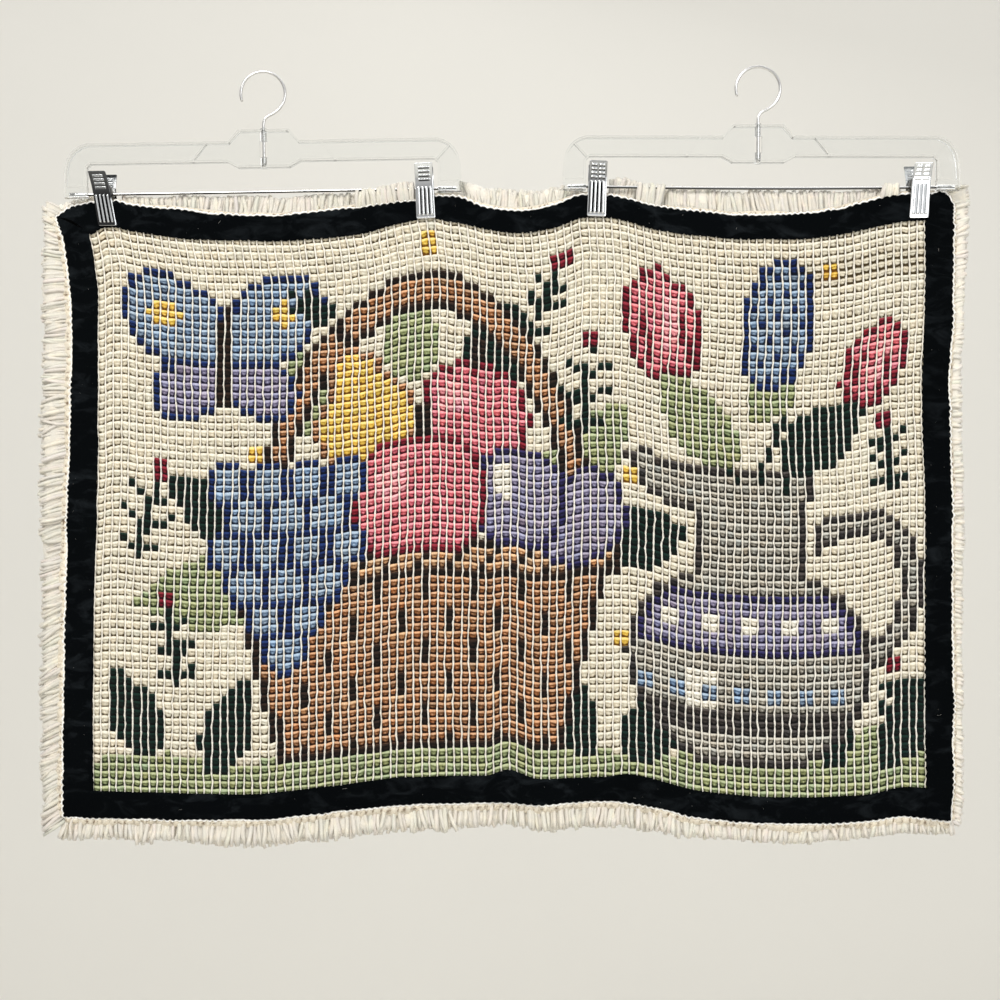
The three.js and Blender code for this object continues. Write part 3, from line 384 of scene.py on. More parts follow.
def tubes(paths, radii, sides, spin=None, flat=None, cap=True):
    """Closed tubes along paths (n, m, 3) in mm with radii (n, m). Returns points, quads and caps."""
    n, m, _ = paths.shape
    tangent = np.gradient(paths, axis=1)
    tangent = unit(tangent)
    if spin is None:
        spin = unit(RNG.normal(0, 1, (n, 3)) * [1, 1, 1] + 1e-3)
    ref = np.broadcast_to(spin[:, None, :], paths.shape)
    one = unit(np.cross(tangent, ref))
    two = np.cross(tangent, one)
    angle = 2 * np.pi * np.arange(sides) / sides
    ca, sa = np.cos(angle), np.sin(angle)
    r = radii[:, :, None, None]
    wide = 1.0 if flat is None else flat
    points = paths[:, :, None, :] + r * (ca[:, None] * one[:, :, None, :] * wide + sa[:, None] * two[:, :, None, :])
    at_ring = np.arange(n * m * sides).reshape(n, m, sides)
    a, b = at_ring[:, :-1, :], at_ring[:, 1:, :]
    quads = np.stack([a, b, np.roll(b, -1, 2), np.roll(a, -1, 2)], -1).reshape(-1, 4)
    caps = []
    if cap:
        caps = np.concatenate([at_ring[:, 0, :], at_ring[:, -1, ::-1]], 0)
    return points.reshape(-1, 3), quads, caps


def tube_corners(n, m, sides, cap=True):
    """For tubes(): which tube, how far along (0..1) and how far round (0..1) each corner is, quads first and caps last."""
    k = np.arange(n)[:, None, None, None]
    along = np.arange(m - 1)[None, :, None, None]
    around = np.arange(sides)[None, None, :, None]
    da = np.array([0, 1, 1, 0])
    dr = np.array([0, 0, 1, 1])
    shape = (n, m - 1, sides, 4)
    which = np.broadcast_to(k, shape).ravel()
    v = (np.broadcast_to(along + da, shape) / (m - 1)).ravel()
    u = (np.broadcast_to(around + dr, shape) / sides).ravel()
    if cap:
        for end in (0.0, 1.0):
            which = np.concatenate([which, np.repeat(np.arange(n), sides)])
            v = np.concatenate([v, np.full(n * sides, end)])
            u = np.concatenate([u, np.tile(np.arange(sides) / sides, n)])
    return which, v, u


def cell_uv(which, u, v, count):
    """Each strand has a small square of the map to itself."""
    side = math.ceil(math.sqrt(count))
    x = (which % side + 0.15 + 0.7 * u) / side
    y = (which // side + 0.15 + 0.7 * v) / side
    return np.stack([x, y], 1)


# ---- materials ------------------------------------------------------------------------
class Nodes:
    """A short way to write a node tree."""

    def __init__(self, name):
        self.material = bpy.data.materials.new(name)
        self.material.use_nodes = True
        self.tree = self.material.node_tree
        self.tree.nodes.clear()
        self.out = self.add("ShaderNodeOutputMaterial")
        self.shader = self.add("ShaderNodeBsdfPrincipled")
        self.link(self.shader, 0, self.out, 0)

    def add(self, kind, **settings):
        node = self.tree.nodes.new(kind)
        for key, value in settings.items():
            if hasattr(node, key):
                setattr(node, key, value)
            else:
                node.inputs[key.replace("_", " ")].default_value = value
        return node

    def link(self, a, out, b, into):
        self.tree.links.new(a.outputs[out], b.inputs[into])

    def set(self, **values):
        for key, value in values.items():
            self.shader.inputs[key.replace("_", " ")].default_value = value

    def mix(self, a, b, factor, kind="MIX"):
        """Mixes two colours; each of a, b and factor is (node, output) or a value."""
        node = self.add("ShaderNodeMix", data_type="RGBA", blend_type=kind)
        for value, index in ((factor, 0), (a, 6), (b, 7)):
            if isinstance(value, tuple) and hasattr(value[0], "outputs"):
                self.link(value[0], value[1], node, index)
            elif index == 0:
                node.inputs[index].default_value = value
            else:
                node.inputs[index].default_value = (*value, 1.0)
        return node, 2

    def ramp(self, source, low, high, to_low=0.0, to_high=1.0):
        node = self.add("ShaderNodeMapRange")
        self.link(source[0], source[1], node, 0)
        for k, v in enumerate((low, high, to_low, to_high), 1):
            node.inputs[k].default_value = v
        node.clamp = True
        return node, 0

    def math(self, kind, a, b):
        node = self.add("ShaderNodeMath", operation=kind)
        for k, v in enumerate((a, b)):
            if isinstance(v, tuple):
                self.link(v[0], v[1], node, k)
            else:
                node.inputs[k].default_value = v
        return node, 0

    def place(self, kind="Object", scale=(1, 1, 1), rotation=(0, 0, 0)):
        coord = self.add("ShaderNodeTexCoord")
        mapping = self.add("ShaderNodeMapping")
        mapping.inputs["Scale"].default_value = scale
        mapping.inputs["Rotation"].default_value = rotation
        self.link(coord, kind, mapping, 0)
        return mapping

    def noise(self, scale, detail=2.0, rough=0.5, at=None, distortion=0.0):
        node = self.add("ShaderNodeTexNoise")
        node.inputs["Scale"].default_value = scale
        node.inputs["Detail"].default_value = detail
        node.inputs["Roughness"].default_value = rough
        node.inputs["Distortion"].default_value = distortion
        self.link(at or self.place(), 0, node, "Vector")
        return node, 0

    def bump(self, height, distance, strength=1.0, below=None):
        node = self.add("ShaderNodeBump")
        node.inputs["Strength"].default_value = strength
        node.inputs["Distance"].default_value = distance
        self.link(height[0], height[1], node, "Height")
        if below is not None:
            self.link(below[0], below[1], node, "Normal")
        return node, 0


def yarn_material(name, attribute, painted_light=None, sheen=0.25, bump_mm=0.35):
    """Soft acrylic yarn. Its colour is each strand's own; where a painted light level is given, a painted highlight is
    mixed in where the yarn lies high and painted shade deep in its gaps, with fibres and plies in the bump.
    """
    n = Nodes(name)
    colour = n.add("ShaderNodeVertexColor", layer_name=attribute)
    fibres = n.noise(2600, 3, 0.65)
    patches = n.noise(160, 2, 0.5)
    varied = n.mix((colour, 0), (0.0, 0.0, 0.0), n.ramp(fibres, 0.35, 0.7, 0.20, 0.0))
    varied = n.mix(varied, (1.14, 1.11, 1.06), n.ramp(patches, 0.45, 0.75, 0.0, 1.0), "MULTIPLY")
    ply = n.noise(700, 2, 0.6)
    if painted_light:
        painted_light_node = n.add("ShaderNodeAttribute", attribute_name=painted_light)
        streaks = n.noise(900, 2, 0.6, n.place(scale=(1.6, 1, 0.55)))
        uneven = n.math("ADD", n.ramp(ply, 0.25, 0.75, -0.20, 0.20), n.ramp(streaks, 0.30, 0.70, -0.17, 0.15))
        level = n.math("ADD", (painted_light_node, 2), uneven)
        # painted light: the level mixes in a painted highlight where it is high and painted gap shade where it is low
        pale = n.add("ShaderNodeVertexColor", layer_name="pale")
        gap = n.add("ShaderNodeVertexColor", layer_name="gap")
        varied = n.mix(varied, (pale, 0), n.ramp(level, 0.10, 0.75, 0.0, 1.0))
        varied = n.mix(varied, (gap, 0), n.ramp(level, -0.10, -0.62, 0.0, 1.0))
    n.link(varied[0], varied[1], n.shader, "Base Color")
    n.set(Roughness=0.92, Sheen_Weight=sheen, Sheen_Roughness=0.5, Specular_IOR_Level=0.15)
    b = n.bump(ply, bump_mm / 1000, 0.8)
    b = n.bump(fibres, 0.12 / 1000, 0.7, b)
    n.link(b[0], b[1], n.shader, "Normal")
    return n.material


def cord_material():
    """White cotton canvas warp: a tight twist, a little grey and cream in places."""
    n = Nodes("rug_canvas_cotton")
    tone = n.noise(45, 3, 0.55)
    fine = n.noise(2200, 3, 0.6)
    knots_ = n.noise(330, 2, 0.55)
    base = n.mix((0.92, 0.875, 0.78), (0.80, 0.74, 0.62), n.ramp(tone, 0.42, 0.72, 0.0, 0.8))
    base = n.mix(base, (0.62, 0.55, 0.43), n.ramp(knots_, 0.52, 0.74, 0.0, 0.75))
    base = n.mix(base, (0.60, 0.54, 0.44), n.ramp(fine, 0.55, 0.80, 0.0, 0.40))
    n.link(base[0], base[1], n.shader, "Base Color")
    n.set(Roughness=0.85, Sheen_Weight=0.2, Sheen_Roughness=0.5, Specular_IOR_Level=0.2)
    twist = n.add("ShaderNodeTexWave", wave_type="BANDS", bands_direction="DIAGONAL")
    twist.inputs["Scale"].default_value = 260
    twist.inputs["Distortion"].default_value = 1.5
    n.link(n.place(), 0, twist, "Vector")
    b = n.bump((twist, 1), 0.18 / 1000, 0.6)
    b = n.bump(fine, 0.1 / 1000, 0.7, b)
    n.link(b[0], b[1], n.shader, "Normal")
    return n.material


def tape_material():
    """Black cotton twill, napped and a little dusty, with pale scuffs along its creases."""
    n = Nodes("black_binding_twill")
    scuff_at = n.place(scale=(1, 1, 2.2), rotation=(0, rad(24), 0))
    scuff = n.noise(38, 4, 0.62, scuff_at, 0.8)
    fine = n.noise(1500, 3, 0.65)
    broad = n.noise(9, 2, 0.5)
    base = n.mix((0.0014, 0.0020, 0.0025), (0.0135, 0.0165, 0.0190), n.ramp(scuff, 0.50, 0.80, 0.0, 1.0))
    base = n.mix(base, (0.0150, 0.0165, 0.0180), n.ramp(fine, 0.62, 0.84, 0.0, 0.45))
    base = n.mix(base, (0.0008, 0.0012, 0.0015), n.ramp(broad, 0.35, 0.65, 0.0, 0.55))
    n.link(base[0], base[1], n.shader, "Base Color")
    n.set(Roughness=0.95, Sheen_Weight=0.005, Sheen_Roughness=0.45, Specular_IOR_Level=0.028)
    twill = n.add("ShaderNodeTexWave", wave_type="BANDS", bands_direction="DIAGONAL")
    twill.inputs["Scale"].default_value = 420
    twill.inputs["Distortion"].default_value = 0.6
    n.link(n.place(), 0, twill, "Vector")
    crease = n.noise(70, 3, 0.55, n.place(scale=(1, 1, 1.8), rotation=(0, rad(-30), 0)), 1.2)
    b = n.bump(crease, 0.9 / 1000, 0.6)
    b = n.bump((twill, 1), 0.12 / 1000, 0.7, b)
    b = n.bump(fine, 0.15 / 1000, 0.8, b)
    n.link(b[0], b[1], n.shader, "Normal")
    return n.material


def chrome_material(name, base, rough, grime=0.25, attribute=None):
    """Bright plating over stamped sheet, with fine wear and a little haze. Its tone may be a piece's own attribute of
    painted reflections and painted shade, dark in its hollows.
    """
    n = Nodes(name)
    haze = n.noise(220, 4, 0.6)
    scratch = n.noise(90, 3, 0.7, n.place(scale=(1, 1, 14)))
    if attribute:
        # the attribute holds painted reflections and painted shade
        own = n.add("ShaderNodeVertexColor", layer_name=attribute)
        worn_to = n.mix((own, 0), (0.72, 0.72, 0.73), 1.0, "MULTIPLY")
        colour = n.mix((own, 0), worn_to, n.ramp(haze, 0.55, 0.85, 0.0, grime))
    else:
        colour = n.mix(base, tuple(c * 0.62 for c in base), n.ramp(haze, 0.55, 0.85, 0.0, grime))
    n.link(colour[0], colour[1], n.shader, "Base Color")
    r = n.ramp(haze, 0.3, 0.8, rough, rough + 0.14)
    n.link(r[0], r[1], n.shader, "Roughness")
    n.set(Metallic=1.0)
    b = n.bump(scratch, 0.03 / 1000, 0.35)
    b = n.bump(haze, 0.05 / 1000, 0.3, b)
    n.link(b[0], b[1], n.shader, "Normal")
    return n.material


def clear_plastic_material():
    """Clear moulded styrene: almost invisible on its faces, with fine handling marks."""
    n = Nodes("clear_hanger_plastic")
    haze = n.noise(60, 4, 0.6)
    n.set(Base_Color=(0.975, 0.985, 0.98, 1), Transmission_Weight=1.0, IOR=1.45, Specular_IOR_Level=0.5)
    r = n.ramp(haze, 0.4, 0.8, 0.02, 0.10)
    n.link(r[0], r[1], n.shader, "Roughness")
    b = n.bump(n.noise(140, 2, 0.5), 0.02 / 1000, 0.4)
    n.link(b[0], b[1], n.shader, "Normal")
    return n.material


# ---- the design, worked out by rule ---------------------------------------------------
YARNS = {  # each yarn's colour, its painted shade deep in a gap and its painted highlight where it would catch the light
    "cream": ((196, 187, 165), (66, 54, 33), (231, 224, 206)), "white": ((206, 200, 185), (70, 62, 46), (238, 234, 222)),
    "brown": ((120, 75, 41), (28, 10, 3), (204, 161, 126)), "tan": ((156, 112, 74), (48, 25, 10), (220, 184, 146)),
    "bark": ((25, 17, 12), (5, 4, 3), (46, 33, 26)), "sky": ((98, 118, 142), (20, 30, 46), (168, 185, 201)),
    "navy": ((14, 28, 68), (4, 8, 22), (34, 54, 102)), "pink": ((184, 80, 91), (56, 9, 18), (230, 150, 155)),
    "rose": ((212, 130, 135), (92, 30, 38), (240, 186, 185)), "crimson": ((94, 13, 27), (30, 3, 9), (138, 44, 56)),
    "lilac": ((108, 102, 128), (26, 22, 42), (173, 168, 188)), "indigo": ((30, 27, 60), (8, 7, 20), (54, 50, 94)),
    "grey": ((126, 121, 110), (27, 24, 18), (198, 194, 182)), "slate": ((42, 38, 36), (11, 10, 9), (74, 69, 66)),
    "leaf": ((120, 128, 86), (32, 38, 17), (180, 186, 146)), "pine": ((6, 22, 18), (2, 5, 4), (17, 40, 33)),
    "gold": ((205, 166, 64), (96, 60, 10), (238, 212, 132)),
}
NAMES = list(YARNS)
CHART = np.full((MESHES_ACROSS, MESHES_DOWN), NAMES.index("cream"))
CX, CY = np.meshgrid(np.arange(MESHES_ACROSS) + 0.5, np.arange(MESHES_DOWN) + 0.5, indexing="ij")


def worn(mask):
    """The mask without its outermost cells."""
    m = mask.copy()
    for axis, step in ((0, 1), (0, -1), (1, 1), (1, -1)):
        m &= np.roll(mask, step, axis)
    return m


def paint(mask, yarn):
    CHART[mask] = NAMES.index(yarn)


def outlined(mask, fill, edge):
    paint(mask, fill)
    paint(mask & ~worn(mask), edge)


def oval(x, y, rx, ry, turn=0.0):
    c, s = math.cos(rad(turn)), math.sin(rad(turn))
    dx, dy = CX - x, CY - y
    return ((dx * c + dy * s) / rx) ** 2 + ((-dx * s + dy * c) / ry) ** 2 <= 1


def leaf(x, y, long, wide, turn):
    """A pointed leaf from its stalk at x, y."""
    c, s = math.cos(rad(turn)), math.sin(rad(turn))
    dx, dy = CX - x, CY - y
    u, v = dx * c + dy * s, -dx * s + dy * c
    t = np.clip(u / long, 0, 1)
    return (u >= 0) & (u <= long) & (np.abs(v) <= wide * np.sin(np.pi * t ** 0.8) + 0.3)


def fruit(x, y, size, fill, edge, shine):
    """A round fruit with full shoulders, a pale cheek and a short stalk."""
    paint((np.abs(CX - x - 0.5) < 0.6) & (CY > y - 1.5 * size) & (CY < y - 0.7 * size), "bark")
    outlined(oval(x - 0.26 * size, y, 0.82 * size, size) | oval(x + 0.26 * size, y, 0.82 * size, size), fill, edge)
    paint(oval(x - 0.40 * size, y - 0.28 * size, 0.26 * size, 0.34 * size), shine)


def pear(x, y, size, turn):
    """A broad foot and a narrow top."""
    c, s = math.cos(rad(turn)), math.sin(rad(turn))
    paint(leaf(x + 1.15 * size * s, y - 1.15 * size * c, 0.9 * size, 0.5, turn - 90), "bark")
    outlined(oval(x, y, size, size) | oval(x + 0.72 * size * s, y - 0.72 * size * c, 0.60 * size, 0.85 * size, turn), "gold", "brown")


def bunch(x, y, rows, size):
    """Grapes in rows that narrow downwards, each drawn over the ones behind it."""
    for k in range(len(rows) - 1, -1, -1):
        for n in range(rows[k]):
            outlined(oval(x + (n - (rows[k] - 1) / 2) * 1.72 * size, y + 1.5 * size * k, size, size), "sky", "navy")


def spike(x, y, wide, tall, turn):
    """A full spike of small bells."""
    body = oval(x, y, wide, tall, turn)
    outlined(body, "sky", "navy")
    paint(worn(body) & ((np.floor(CX) + 2 * np.floor(CY)) % 5 < 1), "navy")


def sprig(x, y, tall, turn, tip=None):
    """A twig with three pairs of narrow leaves."""
    c, s = math.cos(rad(turn)), math.sin(rad(turn))
    paint(leaf(x, y, tall, 0.35, turn), "pine")
    for k in range(3):
        d = tall * (0.06 + 0.28 * k)
        for hand in (-1, 1):
            paint(leaf(x + c * d, y + s * d, tall * 0.32, 0.25, turn + hand * 56), "pine")
    if tip:
        paint(oval(x + c * tall, y + s * tall, 1.3, 1.3), tip)


def stem(x0, y0, x1, y1, bow, yarn="pine"):
    n = int(3 * math.hypot(x1 - x0, y1 - y0))
    for k in range(n + 1):
        t = k / n
        x = x0 + (x1 - x0) * t + bow * math.sin(math.pi * t)
        y = y0 + (y1 - y0) * t
        CHART[int(np.clip(x, 0, 111)), int(np.clip(y, 0, 77))] = NAMES.index(yarn)


def tulip(x, y, size, turn):
    """A cup of three petals that opens upwards."""
    c, s = math.cos(rad(turn)), math.sin(rad(turn))
    u = (CX - x) * c + (CY - y) * s
    v = -(CX - x) * s + (CY - y) * c
    cup = (np.abs(u) <= size * 0.62 * np.sqrt(np.clip(1 - ((v - 0.15 * size) / (0.95 * size)) ** 2, 0, 1))) & (v >= -size * 0.55 - 0.35 * size * np.abs(np.cos(2.4 * u / size * np.pi / 1.6))) & (v <= size * 0.9)
    outlined(cup, "pink", "crimson")
    paint((np.abs(u - 0.12 * size) < 0.14 * size) & (v > -0.3 * size) & (v < 0.45 * size) & cup, "rose")
    paint((np.abs(np.abs(u) - 0.30 * size) < 0.07 * size) & (v > -0.1 * size) & (v < 0.7 * size) & cup, "crimson")


def chart():
    """A basket of fruit beside a banded jug, with a butterfly and sprigs, on cream."""
    # low bank of grass
    bank = CY > 68.5 + 2.2 * np.sin(CX / 9.0) + 1.2 * np.sin(CX / 3.7 + 1)
    paint(bank, "leaf")
    for x, y, turn in ((12, 70, -118), (19, 72, -70), (66, 72, -112), (71, 73, -60), (97, 71, -105), (103, 72, -64)):
        outlined(leaf(x, y, 13, 3.0, turn), "pine", "pine")
    # leaves behind the basket's fruit
    for x, y, long, wide, turn, yarn in (
        (30, 44, 20, 4.6, -152, "pine"), (26, 48, 17, 4.4, 172, "leaf"), (60, 40, 17, 4.4, -50, "leaf"),
        (36, 30, 15, 4.0, -122, "leaf"), (52, 26, 14, 3.8, -72, "pine"), (66, 46, 13, 4.0, -20, "pine"),
        (44, 24, 12, 3.4, -96, "leaf"),
    ):
        paint(leaf(x, y, long, wide, turn), yarn)
    # the basket's handle, a broad arch of two shades
    ring = np.sqrt(((CX - 45) / 20.5) ** 2 + ((CY - 42) / 31.5) ** 2)
    arch = (ring > 0.86) & (ring < 1.03) & (CY < 45)
    outlined(arch, "brown", "bark")
    # the basket: wider at its rim
    rim_y, foot_y = 45, 71
    t = (CY - rim_y) / (foot_y - rim_y)
    half = 23.5 - 6.0 * np.clip(t, 0, 1) ** 1.3
    body = (np.abs(CX - 45) <= half) & (t >= 0) & (t <= 1)
    outlined(body, "brown", "bark")
    cane = ((CX - 45 + 3 * (np.floor(CY / 4) % 2)) % 6 < 1) & body & (CY % 4 > 0.9)
    paint(cane & worn(body), "bark")
    paint(worn(body) & (np.floor(CY / 4) % 2 == 0) & ((CX + 1) % 6 < 2) & ((CY % 4) < 1.0), "tan")
    lip = (np.abs(CX - 45) <= 25) & (CY > rim_y - 1.0) & (CY < rim_y + 4)
    outlined(lip, "tan", "bark")
    paint(lip & worn(lip) & ((CX + CY) % 4 < 1), "bark")
    # fruit over the rim
    pear(38.0, 28.5, 6.6, -14)
    fruit(51.5, 28.0, 6.6, "pink", "crimson", "rose")
    outlined(oval(65.0, 41.5, 5.6, 6.2, 18), "lilac", "indigo")
    outlined(oval(57.0, 38.5, 6.2, 7.0, -10), "lilac", "indigo")
    paint(oval(55.2, 36.4, 1.2, 2.2, -10), "white")
    fruit(44.5, 38.5, 8.0, "pink", "crimson", "rose")
    bunch(28.0, 35.0, (4, 3, 4, 3, 2, 1), 2.9)
    # a jug on the right
    neck = (np.abs(CX - 86) <= 7.0 + 1.8 * np.clip((40 - CY) / 8, 0, 1) ** 1.5) & (CY > 33) & (CY < 47)
    belly = oval(86, 58.5, 15.5, 13.5) & (CY < 71.5)
    spout = leaf(80, 38, 11, 2.6, -152) & (CY > 31)
    grip = (oval(99, 49, 9, 10.5) & ~oval(99, 49, 5.8, 7.2)) & (CX > 94)
    outlined(grip, "grey", "slate")
    outlined(neck | belly | spout, "grey", "slate")
    paint(oval(80.0, 61.5, 2.4, 3.0, 12), "white")
    paint(worn(belly) & (np.abs(CY - 65.5) < 1.1), "slate")
    paint(worn(belly) & (CY > 61.4) & (CY < 63.0) & (CX % 4 < 2), "sky")
    # its flowers
    stem(84, 34, 76, 14, -2.0)
    stem(87, 34, 90, 12, 2.5)
    stem(90, 35, 102, 18, 1.5)
    paint(leaf(84, 33, 15, 3.6, -128), "leaf")
    paint(leaf(90, 33, 14, 3.4, -38), "pine")
    paint(leaf(87, 27, 10, 2.8, -66), "leaf")
    tulip(75, 15, 8.2, -10)
    spike(89.5, 14.5, 4.8, 8.6, 8)
    tulip(102, 20, 6.4, 18)
    # a band round its belly
    outlined(worn(belly) & (CY > 49.0) & (CY < 57.0), "lilac", "indigo")
    paint(worn(belly) & (CY > 52.0) & (CY < 54.0) & (CX % 5 < 2), "white")
    # a butterfly in the corner
    outlined(oval(14.0, 14.5, 7.6, 5.4, 36), "sky", "navy")
    outlined(oval(26.0, 14.0, 7.4, 5.2, -40), "sky", "navy")
    outlined(oval(15.5, 23.0, 5.2, 4.0, -32), "lilac", "navy")
    outlined(oval(24.8, 22.8, 5.0, 3.8, 30), "lilac", "navy")
    for x, y in ((12.5, 13.5), (27.5, 13.0)):
        paint(oval(x, y, 2.0, 1.6), "gold")
    paint(oval(20.2, 18.5, 1.2, 7.0, 3), "bark")
    # sprigs and berries in the open ground
    for x, y, tall, turn, tip in (
        (9, 45, 12, -76, "crimson"), (15, 61, 11, -100, "crimson"), (65, 31, 12, -84, "crimson"), (58, 17, 10, -64, "crimson"),
        (104, 37, 9, -96, "crimson"), (34, 14, 7, -150, None), (104.5, 68, 9, -94, "crimson"),
    ):
        sprig(x, y, tall, turn, tip)
    for x, y in ((24, 31), (71, 36), (46, 6.5), (70, 57), (96, 8)):
        paint(oval(x, y, 1.2, 1.2), "gold")


chart()
EDGE_CREAM = NAMES.index("cream")
PALETTE = np.array([linear(YARNS[k][0]) for k in NAMES])
# each yarn's second colour is its painted gap shade and its third its painted highlight
DEEP = np.array([linear(YARNS[k][1]) for k in NAMES])
PAINTED_HIGHLIGHT = np.array([linear(YARNS[k][2]) for k in NAMES])
SPREAD = {"brown": 0.13, "tan": 0.12, "cream": 0.03, "white": 0.03, "grey": 0.07}
spread = np.array([SPREAD.get(k, 0.09) for k in NAMES])[CHART]
tone = 1 + RNG.normal(0, 1, CHART.shape) * spread
warm = RNG.normal(0, 1, CHART.shape) * spread * 0.55
CELL = PALETTE[CHART] * tone[..., None] * np.stack([1 + warm, np.ones_like(warm), 1 - warm], -1)
CELL = np.clip(CELL, 0.001, 0.95)

# ---- knots on the canvas side ------------------------------------------------------------
KNOT_LOW, KNOT_HIGH = 0.75, -1.42  # how deep the gaps go and how far the loops stand
COLUMNS = (3, 109)
ROWS = (3, 75)
U = np.array([0.10, 0.29, 0.50, 0.71, 0.90])
V = np.array([0.00, 0.19, 0.35, 0.56, 0.74, 0.90])
RISE = np.array(  # rows are V, columns are U: 0 is the bottom of a gap and 1 the top of a loop
    [
        [0.46, 0.66, 0.74, 0.66, 0.46],
        [0.58, 0.92, 1.00, 0.92, 0.58],
        [0.44, 0.62, 0.66, 0.62, 0.44],
        [0.40, 0.76, 0.92, 0.76, 0.40],
        [0.30, 0.58, 0.70, 0.58, 0.30],
        [0.22, 0.32, 0.38, 0.32, 0.22],
    ]
)
PAINTED_LIGHT_LEVELS = np.array(  # painted light and shade on each part: 1 is a painted highlight on the bar across the weft or the crown of the loop, -1 painted shade in a gap
    [
        [0.55, 0.85, 0.95, 0.85, 0.50],
        [0.42, 0.68, 0.78, 0.68, 0.36],
        [-0.22, -0.05, -0.16, -0.05, -0.30],
        [-0.20, 0.22, 0.72, 0.30, -0.30],
        [0.00, 0.00, 0.05, 0.00, 0.00],
        [-0.10, -0.10, 0.00, -0.10, -0.10],
    ]
)


def field(shape, step, size):
    """Smooth chance over the cells, with a new value every `step` of them."""
    n, m = int(shape[0] / step) + 3, int(shape[1] / step) + 3
    coarse = RNG.normal(0, size, (n, m))
    x, y = np.meshgrid(np.arange(shape[0]) / step, np.arange(shape[1]) / step, indexing="ij")
    i, j = x.astype(int), y.astype(int)
    s_, t_ = smooth(x - i), smooth(y - j)
    return lerp(lerp(coarse[i, j], coarse[i + 1, j], s_), lerp(coarse[i, j + 1], coarse[i + 1, j + 1], s_), t_)


# How open each cell's gaps are, low at its left and right and along its foot: the left and right ones sink the knot
# there and deepen its painted shade, the foot one only deepens painted shade.
SHAPE = (MESHES_ACROSS, MESHES_DOWN)
AREA = field(SHAPE, 11, 0.17)
OPEN_LEFT = np.clip(0.80 + AREA + field(SHAPE, 3, 0.16) + RNG.normal(0, 0.28, SHAPE), 0, 1)
OPEN_RIGHT = np.clip(0.90 + AREA + field(SHAPE, 3, 0.16) + RNG.normal(0, 0.28, SHAPE), 0, 1)
OPEN_FOOT = np.clip(0.42 + AREA + RNG.normal(0, 0.30, SHAPE), 0, 1)
TALL = np.clip(0.25 + 0.5 * smooth((CX - 62) / 16) + RNG.normal(0, 0.2, SHAPE), 0, 1)  # how far up its right side the painted gap shade runs
# On strong colours the gaps sink deeper and take more painted shade.
strong = ~np.isin(CHART, [NAMES.index("cream"), NAMES.index("white")])
OPEN_LEFT, OPEN_RIGHT = (np.clip(o + 0.34 * strong, 0, 1) for o in (OPEN_LEFT, OPEN_RIGHT))
OPEN_FOOT = np.clip(OPEN_FOOT + 0.50 * strong, 0, 1)


